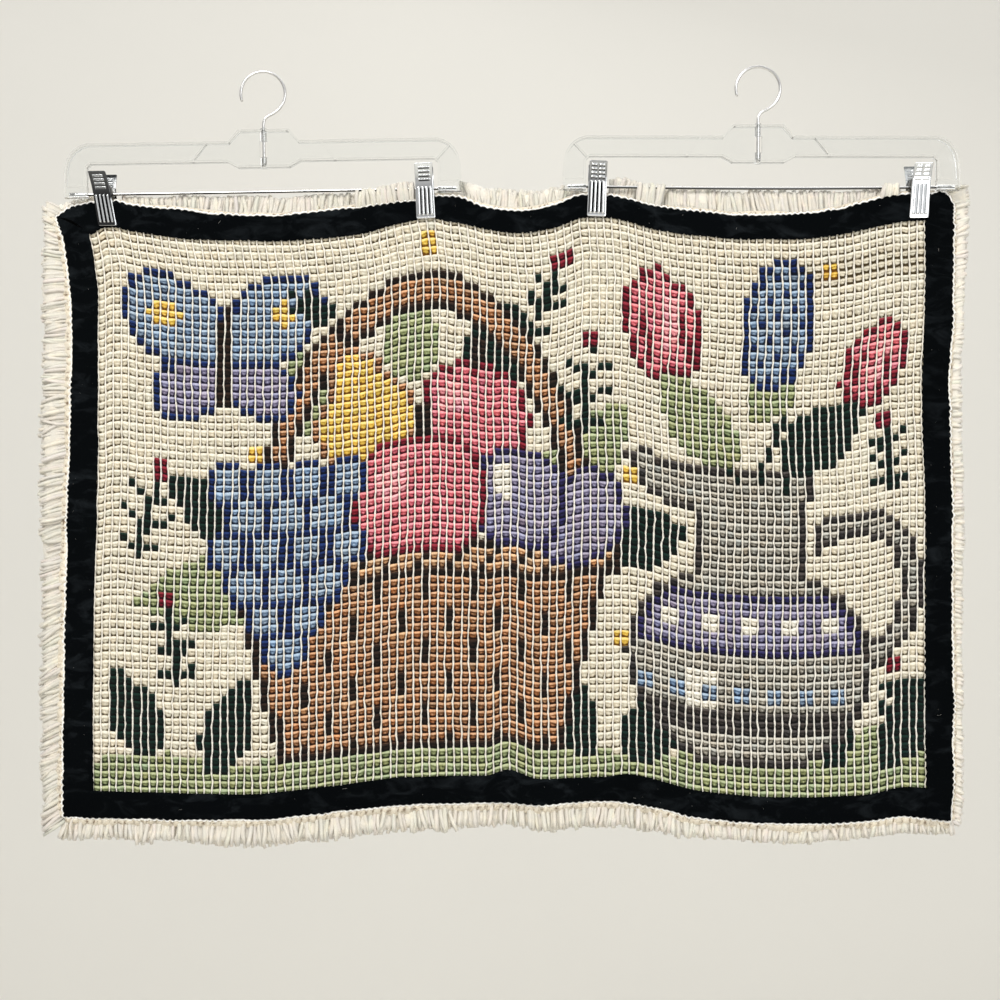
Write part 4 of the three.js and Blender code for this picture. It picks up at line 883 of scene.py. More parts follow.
def knots(name, first, last, material):
    cols = np.arange(first, last)
    rows = np.arange(*ROWS)
    nc, nr = len(cols), len(rows)
    shape = (nc, nr, len(V), len(U))
    one = lambda size: RNG.normal(0, size, (nc, nr, 1, 1))
    u = np.broadcast_to(U, shape).copy()
    v = np.broadcast_to(V[:, None], shape).copy()
    middle = np.array([0, 0.8, 1, 0.8, 0])
    lower = np.array([0, 0, 0, 0.4, 1, 1])[:, None]
    u += middle * lower * one(0.050)
    v += np.array([0, 1, 1, 1, 0.5, 0.2])[:, None] * ((U - 0.5) * one(0.10) + one(0.02))
    rise = RISE * np.ones(shape)
    rise *= 1 + np.array([0, 1, 1, 0, 0, 0])[:, None] * one(0.06) + lower * one(0.08)
    own = lambda a: a[cols[:, None], rows[None, :]][:, :, None, None]
    left, right, foot, tall = own(OPEN_LEFT), own(OPEN_RIGHT), own(OPEN_FOOT), own(TALL)
    at_left, at_right = np.array([1.0, 0.50, 0.05, 0, 0]), np.array([0, 0, 0.05, 0.55, 1.0])
    low_rows = np.array([0, 0, 0, 0, 0.55, 1.0])[:, None]
    rise -= low_rows * 0.26 * (left * at_left + right * at_right)
    # painted light: highlights on the bars and crowns and painted shade in the gaps, deeper where a gap is open
    painted_light = PAINTED_LIGHT_LEVELS * np.ones(shape)
    painted_light -= np.array([0, 0, 0, 0.0, 0.85, 1.0])[:, None] * (left * at_left + right * at_right)
    painted_light -= np.array([0, 0, 0, 0, 0.10, 0.95])[:, None] * np.array([0.0, 0.7, 1.0, 0.7, 0.0]) * foot
    painted_light -= np.array([0, 0, 0.15, 0.75, 0.10, 0])[:, None] * np.array([0, 0, 0, 0.1, 1.0]) * tall * right
    dark = own(strong.astype(float))  # on strong colours painted shade lies round the whole loop
    painted_light -= dark * np.array([0, 0.05, 0.30, 0.34, 0.40, 0.30])[:, None] * np.array([1, 0.75, 0.55, 0.75, 1.0])
    painted_light += np.array([0.5, 1, 1.2, 0.8, 0.8, 0.5])[:, None] * RNG.normal(0, 0.12, shape) + one(0.05)
    rise = np.clip(rise + RNG.normal(0, 0.03, shape), 0, 1.15)
    # Three rows near the upper right were pulled slack, so their gaps are wide, and painted shade makes them dark.
    slack = (cols[:, None] >= 92) & (rows[None, :] >= 7) & (rows[None, :] <= 9) | ((cols[:, None] >= 88) & (rows[None, :] == 8))
    slack = slack[:, :, None, None]
    rise = np.where(slack, rise * np.array([0.30, 0.85, 1.0, 0.9, 0.75, 0.12])[:, None], rise)
    painted_light = np.where(slack, painted_light - np.array([1.3, 0.1, 0, 0, 0.5, 1.2])[:, None], painted_light)
    i = (cols[:, None, None, None] + u).transpose(0, 1, 2, 3).reshape(nc, nr * len(V), len(U))
    j = (rows[None, :, None, None] + v).reshape(nc, nr * len(V), len(U))
    rise, painted_light = rise.reshape(nc, nr * len(V), len(U)), painted_light.reshape(nc, nr * len(V), len(U))
    # close each column with one last low line
    i = np.concatenate([i, i[:, -1:, :]], 1)
    j = np.concatenate([j, np.full((nc, 1, len(U)), float(ROWS[1]))], 1)
    rise = np.concatenate([rise, np.full((nc, 1, len(U)), 0.3)], 1)
    painted_light = np.concatenate([painted_light, np.full((nc, 1, len(U)), -0.3)], 1)
    p = woven(i, j)
    p[..., 1] += lerp(KNOT_LOW, KNOT_HIGH, rise)
    m = p.shape[1]
    at_point = np.arange(nc * m * len(U)).reshape(nc, m, len(U))
    a, b, c, d = at_point[:, :-1, :-1], at_point[:, 1:, :-1], at_point[:, 1:, 1:], at_point[:, :-1, 1:]
    quads = np.stack([a, b, c, d], -1).reshape(-1, 4)
    ob = new_mesh(name, place_mm(p.reshape(-1, 3)), quads)
    row = rows[np.minimum(np.arange(m) // len(V), nr - 1)]
    at_cell = (cols[:, None], row[None, :])
    # the gap colour is painted shade and the pale colour a painted highlight; the yarn colour is the cell's own
    for kind, colour in (("yarn", CELL[at_cell]), ("gap", DEEP[CHART[at_cell]]), ("pale", PAINTED_HIGHLIGHT[CHART[at_cell]] * (CELL[at_cell] / PALETTE[CHART[at_cell]]) ** 0.6)):
        point_colours(ob, kind, np.broadcast_to(np.clip(colour, 0, 0.93)[:, :, None, :], (nc, m, len(U), 3)).reshape(-1, 3))
    point_value(ob, "painted_light", np.clip(painted_light, -1.3, 1.2).ravel())
    flat = np.stack([(i - first) / (last - first), 1 - (j - ROWS[0]) / (ROWS[1] - ROWS[0])], -1).reshape(-1, 2)
    uv_map(ob, "OFBake", flat[quads.ravel()] * 0.996 + 0.002)
    ob.data.materials.append(material)
    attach(ob, "root")
    return ob


knot_yarn = yarn_material("rug_yarn_knots", "yarn", "painted_light", 0.09)
thirds = [COLUMNS[0], 38, 73, COLUMNS[1]]
knot_pieces = [knots(f"knot_backs_{k + 1}", thirds[k], thirds[k + 1], knot_yarn) for k in range(3)]

# ---- the woven canvas -----------------------------------------------------------------------
WARP = {"across": 0.80, "out": 1.03, "middle": -0.70, "bead": 0.20}
WEFT = {"radius": 0.97, "middle": 1.15, "down": 0.22}


def canvas_mesh(material):
    points, quads, caps, uvs, cap_uvs = [], [], [], [], []
    start = 0
    fine = np.concatenate([np.arange(0, ROWS[0], 1.0), np.arange(ROWS[0], ROWS[1], 0.5), np.arange(ROWS[1], MESHES_DOWN + 0.1, 1.0)])
    coarse = np.arange(0, MESHES_DOWN + 0.1, 2.0)
    for seen in (True, False):
        warps = np.arange(MESHES_ACROSS + 1)
        inside = (warps >= 4) & (warps <= MESHES_ACROSS - 4)
        warps = warps[inside] if seen else warps[~inside]
        j = fine if seen else coarse
        n, m = len(warps), len(j)
        p = woven(np.broadcast_to(warps[:, None], (n, m)), np.broadcast_to(j[None, :], (n, m)))
        bead = np.cos(2 * np.pi * j) * WARP["bead"]
        size = np.clip(1 + bead[None, :] * (1 if seen else 0) + RNG.normal(0, 0.10 if seen else 0.05, (n, m)), 0.6, 1.32)
        out = WARP["middle"] + RNG.normal(0, 0.06, (n, m)) - 0.10 * np.cos(2 * np.pi * j)[None, :]
        hidden = (j < ROWS[0] + 0.4) | (j > ROWS[1] - 0.6)
        out = np.where(hidden[None, :], -0.62, out)
        ring = []
        for ca, sa in ((1, -0.35), (0, 1), (-1, -0.35)):
            q = p.copy()
            q[..., 0] += ca * WARP["across"] * size
            q[..., 1] += out - sa * WARP["out"] * np.where(hidden[None, :], 0.95, 1.0)
            ring.append(q)
        ring = np.stack(ring, 2)
        at_ring = np.arange(n * m * 3).reshape(n, m, 3) + start
        a, b = at_ring[:, :-1], at_ring[:, 1:]
        quads.append(np.stack([a, np.roll(a, -1, 2), np.roll(b, -1, 2), b], -1).reshape(-1, 4))
        caps.append(np.concatenate([at_ring[:, 0, ::-1], at_ring[:, -1, :]], 0))
        points.append(ring.reshape(-1, 3))
        around = np.broadcast_to(np.arange(3)[None, None, :, None] + np.array([0, 1, 1, 0]), (n, m - 1, 3, 4)) / 3
        down = np.broadcast_to(j[:-1, None, None], (m - 1, 3, 4)) * (np.array([1, 1, 0, 0])) + np.broadcast_to(j[1:, None, None], (m - 1, 3, 4)) * np.array([0, 0, 1, 1])
        down = np.broadcast_to(down[None], (n, m - 1, 3, 4))
        x = (warps[:, None, None, None] + 0.1 + 0.8 * around) / (MESHES_ACROSS + 1)
        uvs.append(np.stack([x * 0.8, down / MESHES_DOWN], -1).reshape(-1, 2))
        cap_uvs.append(np.zeros((2 * n * 3, 2)) + 0.001)
        start += n * m * 3
    rows = np.arange(MESHES_DOWN) + WEFT["down"]
    i = np.linspace(0, MESHES_ACROSS, 57)
    n, m = len(rows), len(i)
    p = place(np.broadcast_to(i[None, :], (n, m)), np.broadcast_to(rows[:, None], (n, m)))
    ring = []
    for k in range(3):
        a = 2 * math.pi * k / 3 + math.pi / 2
        q = p.copy()
        q[..., 2] += WEFT["radius"] * math.cos(a)
        q[..., 1] += WEFT["middle"] + WEFT["radius"] * math.sin(a)
        ring.append(q)
    ring = np.stack(ring, 2)
    at_ring = np.arange(n * m * 3).reshape(n, m, 3) + start
    a, b = at_ring[:, :-1], at_ring[:, 1:]
    quads.append(np.stack([a, b, np.roll(b, -1, 2), np.roll(a, -1, 2)], -1).reshape(-1, 4))
    weft_caps = np.concatenate([at_ring[:, 0, :], at_ring[:, -1, ::-1]], 0)
    points.append(ring.reshape(-1, 3))
    y = (np.arange(n)[:, None, None, None] + 0.1 + 0.8 * np.broadcast_to((np.arange(3)[:, None] + np.array([0, 0, 1, 1])) / 3, (1, 1, 3, 4))) / n
    x = 0.81 + 0.18 * (np.arange(m - 1)[None, :, None, None] + np.array([0, 1, 1, 0])) / (m - 1)
    uvs.append(np.stack(np.broadcast_arrays(x, y), -1).reshape(-1, 2))
    faces = [np.concatenate(quads), np.concatenate(caps), weft_caps]
    ob = new_mesh("canvas_mesh", place_mm(np.concatenate(points)), faces)
    all_uv = np.concatenate([np.concatenate(uvs), np.concatenate(cap_uvs), np.zeros((weft_caps.size, 2)) + 0.001])
    uv_map(ob, "OFBake", all_uv)
    ob.data.materials.append(material)
    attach(ob, "root")
    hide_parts("canvas")
    return ob


cotton = cord_material()
canvas = canvas_mesh(cotton)

# ---- pile on the wall side ----------------------------------------------------------------------
GRIP_X = np.array([x + 12 * math.sin(rad(lean)) - 8 * math.sin(rad(turn)) for _, x, lean, turn, _ in CLIPS])


PILE_LOST = 0.13  # the share of ends that have been combed out


def pile(name, first, last, material):
    cols, rows = np.arange(first, last), np.arange(0, MESHES_DOWN)
    c, r = [a.ravel() for a in np.meshgrid(cols, rows, indexing="ij")]
    c, r = np.repeat(c, 2), np.repeat(r, 2)
    side = np.tile([-1.0, 1.0], len(c) // 2)
    n = len(c)
    root = place(c + 0.5 + side * 0.16, r + 0.45)
    near = np.abs(root[:, 0:1] - GRIP_X[None, :]).min(1)
    pressed = (near < 14.5) & (r < 6)
    keep = ~(pressed & (r < 1)) & (RNG.uniform(0, 1, n) > PILE_LOST)
    c, r, side, root, pressed = c[keep], r[keep], side[keep], root[keep], pressed[keep]
    n = len(c)
    reach = RNG.uniform(12.5, 17.5, n)
    drop = RNG.uniform(17, 27, n)
    drift = RNG.normal(0, 3.2, n) + side * 1.4
    reach = np.where(pressed, 2.2, reach)
    first_y = np.where(pressed, 2.6, 7.5)
    a = root + np.stack([side * 0.3, np.full(n, 1.2), np.zeros(n)], 1)
    b = root + np.stack([drift * 0.45, first_y + RNG.normal(0, 0.6, n) * ~pressed, -drop * 0.28], 1)
    d = root + np.stack([drift, first_y + (reach - 7.5) * ~pressed, -drop], 1)
    limit = place(c + 0.5, r + 0.45)[:, 1] + 20.2
    d[:, 1] = np.minimum(d[:, 1], limit)
    foot = bottom_z(np.clip(d[:, 0], BOTTOM_EDGE[0][0], BOTTOM_EDGE[-1][0]))
    d[:, 2] = np.maximum(d[:, 2], foot - line(PILE_BOTTOM)(d[:, 0]) + RNG.uniform(0, 4, n))
    paths = np.stack([a, b, d], 1)
    radii = np.stack([np.full(n, 1.0), np.full(n, 1.75), RNG.uniform(1.5, 2.1, n)], 1)
    radii[pressed] *= 0.6
    points, quads, caps = tubes(paths, radii, 3)
    caps = caps[n:]
    ob = new_mesh(name, place_mm(points), [quads, caps])
    which, v, u = tube_corners(n, 3, 3)
    keep = np.concatenate([np.ones(len(quads) * 4, bool), np.zeros(n * 3, bool), np.ones(n * 3, bool)])
    which, v, u = which[keep], v[keep], u[keep]
    base = CELL[c, r] * RNG.uniform(0.93, 1.05, n)[:, None]
    hidden = (c < 4) | (c >= 108) | (r < 3) | (r > 74)
    # the ends at the edges take the cream's painted-highlight colour, a lighter copy of the cream yarn
    base[hidden] = CELL[c, r][hidden] * 0 + PAINTED_HIGHLIGHT[EDGE_CREAM] * RNG.uniform(0.90, 1.0, (int(hidden.sum()), 1))
    # painted shade: each strand is darker towards its root
    colour = base[which] * (0.70 + 0.36 * v ** 0.6)[:, None]
    corner_colours(ob, "yarn", np.clip(colour, 0, 0.93))
    uv_map(ob, "OFBake", cell_uv(which, u, v, n))
    ob.data.materials.append(material)
    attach(ob, "root")
    return ob


pile_yarn = yarn_material("rug_yarn_pile", "yarn", None, 0.3, 0.5)
halves = [0, 56, MESHES_ACROSS]
pile_pieces = [pile(f"pile_tufts_{k + 1}", halves[k], halves[k + 1], pile_yarn) for k in range(2)]
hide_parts("pile")

# ---- the rug's edge ----------------------------------------------------------------------------------
def scalloped(total):
    """How far the bound edge stands out along one side, by mesh: small uneven scallops where the stitches draw it in."""
    n = total * 16 + 1
    t = np.linspace(0, total, n)
    phase = np.cumsum(np.full(n, 1 / 16) / np.clip(0.84 + wander(n, 80, 0.09, RNG), 0.6, 1.1))
    size = 1.08 * np.clip(1 + wander(n, 24, 0.45, RNG), 0.2, 1.8)
    return t, size * np.abs(np.cos(np.pi * phase)) ** 0.8 + wander(n, 60, 0.20, RNG) - 0.45


SCALLOPS = {side: scalloped(MESHES_ACROSS if side in ("top", "bottom") else MESHES_DOWN) for side in ("top", "bottom", "left", "right")}


def scallop_at(side, t):
    return np.interp(t, *SCALLOPS[side])


# ---- fringe of cut ends past each edge -----------------------------------------------------------
out_top, out_bottom, out_left, out_right = line(PILE_TOP), line(PILE_BOTTOM), line(PILE_LEFT), line(PILE_RIGHT)
ANGLE = {  # how the ends lie along each edge, in degrees from straight out, positive turned up or to the right
    "left": [(243, 30), (222, 14), (190, 0), (120, -4), (40, -5), (-10, -12), (-60, -19), (-160, -22), (-240, -26), (-272, -36)],
    "right": [(254, 22), (190, 20), (120, 10), (20, 0), (-100, -8), (-200, -14), (-275, -24)],
    "bottom": [(-378, -10), (-300, -4), (-150, 3), (0, 0), (150, -4), (300, 5), (383, 10)],
    "top": [(-385, -14), (-300, -4), (-180, 6), (-100, -6), (0, 2), (100, 6), (230, -6), (320, 4), (385, 12)],
}


LOCKS = {  # how far a lock of ends swings, how far each end does, in degrees, and an end's radius
    "left": (4.5, 3.5, 1.45, 1.95), "right": (4.5, 3.5, 1.45, 1.95), "bottom": (4.5, 4.0, 1.45, 1.95), "top": (3.5, 3.5, 1.50, 2.0),
}
OVER_ROD = [(-126, -77), (112, 133), (322, 334)]  # where ends at the top hang forward over the rod


def rod_z(x):
    """The height of the rod that passes x, and whether one does."""
    z, there = np.zeros_like(x), np.zeros(x.shape, bool)
    for h in HANGERS:
        local = (x - h["x"]) / math.cos(rad(h["tilt"]))
        near = np.abs(local) < 168
        z = np.where(near, h["z"] + local * math.sin(rad(h["tilt"])) - h["sag"] * np.maximum(0, 1 - (local / HANGER["arm_inner"]) ** 2), z)
        there |= near
    return z, there


def below_arm(root, least):
    """How far ends at the top may reach: behind the hangers' inner arms they stop at the rod, and they lie low at the right corner."""
    limit = np.where(root[:, 0] > 362, np.maximum(267.0 - root[:, 2], least), 1e3)
    for h, sign in ((HANGERS[0], 1), (HANGERS[1], -1)):
        near = np.abs(root[:, 0] - (h["x"] + sign * 160.2)) < 13.5
        rod_at = h["z"] + sign * 160.2 * math.sin(rad(h["tilt"]))
        limit = np.where(near, np.maximum(rod_at - 1.0 - root[:, 2], least), limit)
    return limit


def edge_frame(side, t, inset):
    """Where a mesh edge place is, how far the pile stands out there, and which way is out and along."""
    if side == "left":
        root, out, way, other, k = place(inset, t), out_left, (-1, 0, 0), (0, 0, 1), 2
    elif side == "right":
        root, out, way, other, k = place(MESHES_ACROSS - inset, t), out_right, (1, 0, 0), (0, 0, 1), 2
    elif side == "top":
        root, out, way, other, k = place(t, inset), out_top, (0, 0, 1), (1, 0, 0), 0
    else:
        root, out, way, other, k = place(t, MESHES_DOWN - inset), out_bottom, (0, 0, -1), (1, 0, 0), 0
    key = root[..., k]
    return root, out(key), np.array(way, float), np.array(other, float), key


def fringe(side, layers, material):
    along_count = MESHES_DOWN if side in ("left", "right") else MESHES_ACROSS
    lock_size, spread_size, thin, thick = LOCKS[side]
    spots, layer = [], []
    for k, (inset, y, share) in enumerate(layers):
        t = np.repeat(np.arange(along_count) + 0.5, 2) + np.tile([-0.24, 0.24], along_count) + RNG.normal(0, 0.10, 2 * along_count)
        spots.append(t)
        layer.append(np.full(len(t), k))
    t, layer = np.concatenate(spots), np.concatenate(layer)
    n = len(t)
    inset = np.array([a[0] for a in layers])[layer]
    y = np.array([a[1] for a in layers])[layer] + RNG.normal(0, 0.6, n)
    share = np.array([a[2] for a in layers])[layer] * RNG.uniform(0.93, 1.04, n)
    clump = wander(2 * along_count, 5, 0.065, RNG)
    share = share * (1 + np.tile(clump, len(layers)))
    t = np.clip(t, 0.05, along_count - 0.05)
    root, out, way, other, key = edge_frame(side, t, inset)
    past = inset * (6.4 if side in ("left", "right") else 6.8)
    reach = out * share + past
    if side == "top":
        reach = np.minimum(reach, below_arm(root, 6.8 * 0.35))
    lock = wander(n // len(layers) + 1, 5, lock_size, RNG)
    angle = line(ANGLE[side])(key) + np.tile(lock[: n // len(layers)], len(layers))[:n] + RNG.normal(0, spread_size, n)
    turn = np.tan(np.radians(angle))
    bend = RNG.normal(0, 0.045, n)
    sag = {"left": -0.05, "right": -0.04, "top": 0.0, "bottom": 0.0}[side]
    steps = 5
    s = np.linspace(0, 1, steps)[None, :, None]
    reach3 = reach[:, None, None]
    wave = (bend[:, None, None] * np.sin(np.pi * s * 1.2) * reach3)
    p = root[:, None, :] + way * reach3 * s + other * (turn[:, None, None] * reach3 * s + wave)
    if sag:
        p = p + np.array([0, 0, 1]) * sag * reach3 * s ** 2
    y_start = np.minimum(y, np.where((side == "top") & (layer == len(layers) - 1), 9.6, 2.9))[:, None]
    swing = RNG.normal(0.8, 0.9, n)[:, None]
    s2 = s[..., 0]
    p[..., 1] = root[:, 1][:, None] + lerp(y_start, y[:, None], smooth(s2 * 2.2)) + swing * s2 ** 2 * 1.4
    radii = 0.82 * RNG.uniform(thin, thick, n)[:, None] * np.array([0.85, 1.0, 1.04, 1.0, 0.84])[None, :] * RNG.uniform(0.95, 1.05, (n, steps))
    # nothing passes through the clips, the rods or the hangers' arms
    keep = np.ones(n, bool)
    if side == "top":
        over = np.zeros(n, bool)
        for a_, b_ in OVER_ROD:
            over |= (key > a_) & (key < b_)
        over &= layer <= 1
        rod_at, there = rod_z(p[..., 0])
        near_rod = there & (np.abs(p[..., 2] - rod_at) < 5.0)
        front = (MID_Y - ROD_RADIUS - 0.3) - radii
        behind = (MID_Y + ROD_RADIUS + 0.4) + radii
        forward = lerp(root[:, 1][:, None] + 0.2, np.minimum(front, root[:, 1][:, None] - 2.2), smooth(s2 * 1.5))
        p[..., 1] = np.where(over[:, None], forward, np.where(near_rod, np.maximum(p[..., 1], behind), p[..., 1]))
        tip = p[:, -1]
        for g in GRIP_X:
            keep &= np.abs(tip[:, 0] - g) > 11.0
            keep &= np.abs(root[:, 0] - g) > 10.0
        for h in HANGERS:
            for sign in (-1, 1):
                x = h["x"] + sign * 160.2
                keep &= ~((np.abs(tip[:, 0] - x) < 12.8) & (tip[:, 2] > h["z"] - 5) & (tip[:, 1] < 8.0))
    p, radii, layer = p[keep], radii[keep], layer[keep]
    n = len(p)
    sides = 4
    points, quads, caps = tubes(p, radii, sides, unit(RNG.normal(0, 1, (n, 3)) * 0.35 + np.array([0, 1, 0])), 1.42)
    ob = new_mesh(f"fringe_{side}", place_mm(points), [quads, caps])
    which, v, u = tube_corners(n, steps, sides)
    # painted shade: each side's ends are darkened by their own factor
    base = FRINGE_CREAM * FRINGE_PAINTED_SHADE[side] * RNG.uniform(0.95, 1.03, (n, 1)) * (1 + RNG.normal(0, 0.012, (n, 3)))
    # painted light: the top ends at the far corners are painted brighter, against the shade under the hangers' arms
    if side == "top":
        base = base * (1 + 0.15 * smooth((np.abs(p[:, 0, 0] + 6) - 325) / 25))[:, None]
    # painted shade: each end is darker towards its root
    colour = base[which] * (0.90 + 0.10 * np.clip(v * 1.6, 0, 1))[:, None]
    corner_colours(ob, "yarn", np.clip(colour, 0, 0.93))
    uv_map(ob, "OFBake", cell_uv(which, u, v, n))
    ob.data.materials.append(material)
    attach(ob, "root")
    return ob


def fringe_body(side, material):
    """The close mass of yarn behind the ends that show, in lengths between the clips: closed, rounded and uneven."""
    total = MESHES_DOWN if side in ("left", "right") else MESHES_ACROSS
    front_y, back_y = (8.6, 12.4) if side == "top" else (4.9, 9.8)
    spans = [(0.4, total - 0.4)]
    if side == "top":
        at_x = place(np.linspace(0, total, 1121), 0.0)[:, 0]
        cuts = [float(np.interp(g, at_x, np.linspace(0, total, 1121))) for g in GRIP_X]
        ends = [0.4] + [v for c in cuts for v in (c - 2.1, c + 2.1)] + [total - 0.4]
        spans = [(a_, b_) for a_, b_ in zip(ends[::2], ends[1::2]) if b_ - a_ > 1.5]
    share = np.array([0.0, 0.30, 0.58, 0.78, 0.90])
    swell = np.array([0.0, 0.35, 0.5, 0.2, -0.6])  # the front comes forward in the middle and rounds off at the tip
    points, faces, caps, colours = [], [], [], []
    start = 0
    for a_, b_ in spans:
        n = max(int((b_ - a_) * 3), 6)
        t = np.linspace(a_, b_, n)
        root, out, way, other, key = edge_frame(side, t, 1.5)
        past = 1.5 * 6.6
        ragged = 1 + wander(n, 2.2, 0.05, RNG) + RNG.normal(0, 0.02, n)
        m = len(share)
        reach = past + (out * ragged)[:, None] * share[None, :] - past * (1 - (share > 0))[None, :]
        if side == "top":
            reach = np.minimum(reach, below_arm(root, 5.0)[:, None] * lerp(0.7, 1.0, share)[None, :])
        lean_ = np.tan(np.radians(line(ANGLE[side])(key)))[:, None] * reach * 0.9
        base = root[:, None, :] + way * reach[..., None] + other * lean_[..., None]
        bumps = wander(n, 1.6, 0.5, RNG)[:, None] + RNG.normal(0, 0.15, (n, m))
        front, back = base.copy(), base.copy()
        front[..., 1] = root[:, 1][:, None] + front_y - swell[None, :] * 2.0 + bumps + np.where(share == 0.9, 1.5, 0.0)[None, :]
        back[..., 1] = root[:, 1][:, None] + back_y - np.where(share == 0.9, 1.5, 0.0)[None, :] + bumps * 0.5
        if side == "top":
            front[:, 0, 1] -= 2.4
            back[..., 1] -= np.array([4.4, 2.2, 0.4, 0.0, 0.0])[None, :]
        if side == "top":
            front[..., 1] = np.maximum(front[..., 1], MID_Y + ROD_RADIUS + 1.6)
            back[..., 1] = np.maximum(back[..., 1], front[..., 1] + 1.4)
        ring = np.concatenate([front, back[:, ::-1]], 1)  # round the section
        k = 2 * m
        at_ring = start + np.arange(n * k).reshape(n, k)
        a, b = at_ring[:-1], at_ring[1:]
        faces.append(np.stack([a, b, np.roll(b, -1, 1), np.roll(a, -1, 1)], -1).reshape(-1, 4))
        caps.append(np.stack([at_ring[0, ::-1], at_ring[-1]]))
        points.append(ring.reshape(-1, 3))
        start += n * k
    points, faces, caps = np.concatenate(points), np.concatenate(faces), np.concatenate(caps)
    p0, p1, p2 = points[faces[0, 0]], points[faces[0, 1]], points[faces[0, 3]]
    if (np.cross(p1 - p0, p2 - p0)[1] > 0) == (faces[0, 0] % (2 * len(share)) < len(share) - 1):
        faces, caps = faces[:, ::-1], caps[:, ::-1]
    ob = new_mesh(f"fringe_body_{side}", place_mm(points), [faces, caps])
    # painted light: the body at the top is painted brighter and the other sides a little darker, over each side's
    # painted shade
    corner_colours(ob, "yarn", np.broadcast_to(np.clip(FRINGE_CREAM * FRINGE_PAINTED_SHADE[side] * (1.10 if side == "top" else 0.97), 0, 0.93), (faces.size + caps.size, 3)))
    corners = np.concatenate([points[faces.ravel()], points[caps.ravel()]])
    lo, hi = corners.min(0), corners.max(0)
    side_of = np.concatenate([np.repeat((np.arange(len(faces)) % (2 * len(share)) >= len(share)).astype(float), 4), np.ones(caps.size)])
    along, up = (2, 0) if side in ("left", "right") else (0, 2)
    uv_map(ob, "OFBake", np.stack([(corners[:, along] - lo[along]) / (hi[along] - lo[along]) * 0.99 + 0.005, side_of * 0.5 + 0.48 * (corners[:, up] - lo[up]) / (hi[up] - lo[up]) + 0.005], 1))
    ob.data.materials.append(material)
    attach(ob, "root")
    return ob


FRINGE_CREAM = linear((238, 232, 219))
# painted shade: how dark each side's ends and body are painted
FRINGE_PAINTED_SHADE = {"left": 0.86, "top": 0.86, "right": 0.96, "bottom": 0.94}
FRINGE_LAYERS = {  # meshes in from the edge, y from the canvas, share of the overhang
    "left": [(0.35, 2.8, 0.96), (0.9, 4.6, 1.0), (1.6, 11.0, 0.97)],
    "right": [(0.35, 2.8, 0.96), (0.9, 4.6, 1.0), (1.6, 11.0, 0.97)],
    "bottom": [(0.35, 2.8, 0.94), (0.9, 4.6, 1.0), (1.6, 12.0, 0.97)],
    "top": [(0.35, 7.2, 0.92), (0.5, 8.0, 0.99), (0.9, 9.6, 1.0), (1.6, 14.0, 0.97)],
}
fringe_yarn = yarn_material("rug_yarn_fringe", "yarn", None, 0.35, 0.35)
fringe_pieces = [fringe(side, FRINGE_LAYERS[side], fringe_yarn) for side in FRINGE_LAYERS]
fringe_pieces += [fringe_body(side, fringe_yarn) for side in FRINGE_LAYERS]


# ---- the last row of knots, past the tape -------------------------------------------------------------
EDGE_REACH = {"left": 1.12, "right": 0.75, "top": 0.62, "bottom": 1.15}  # meshes past the edge


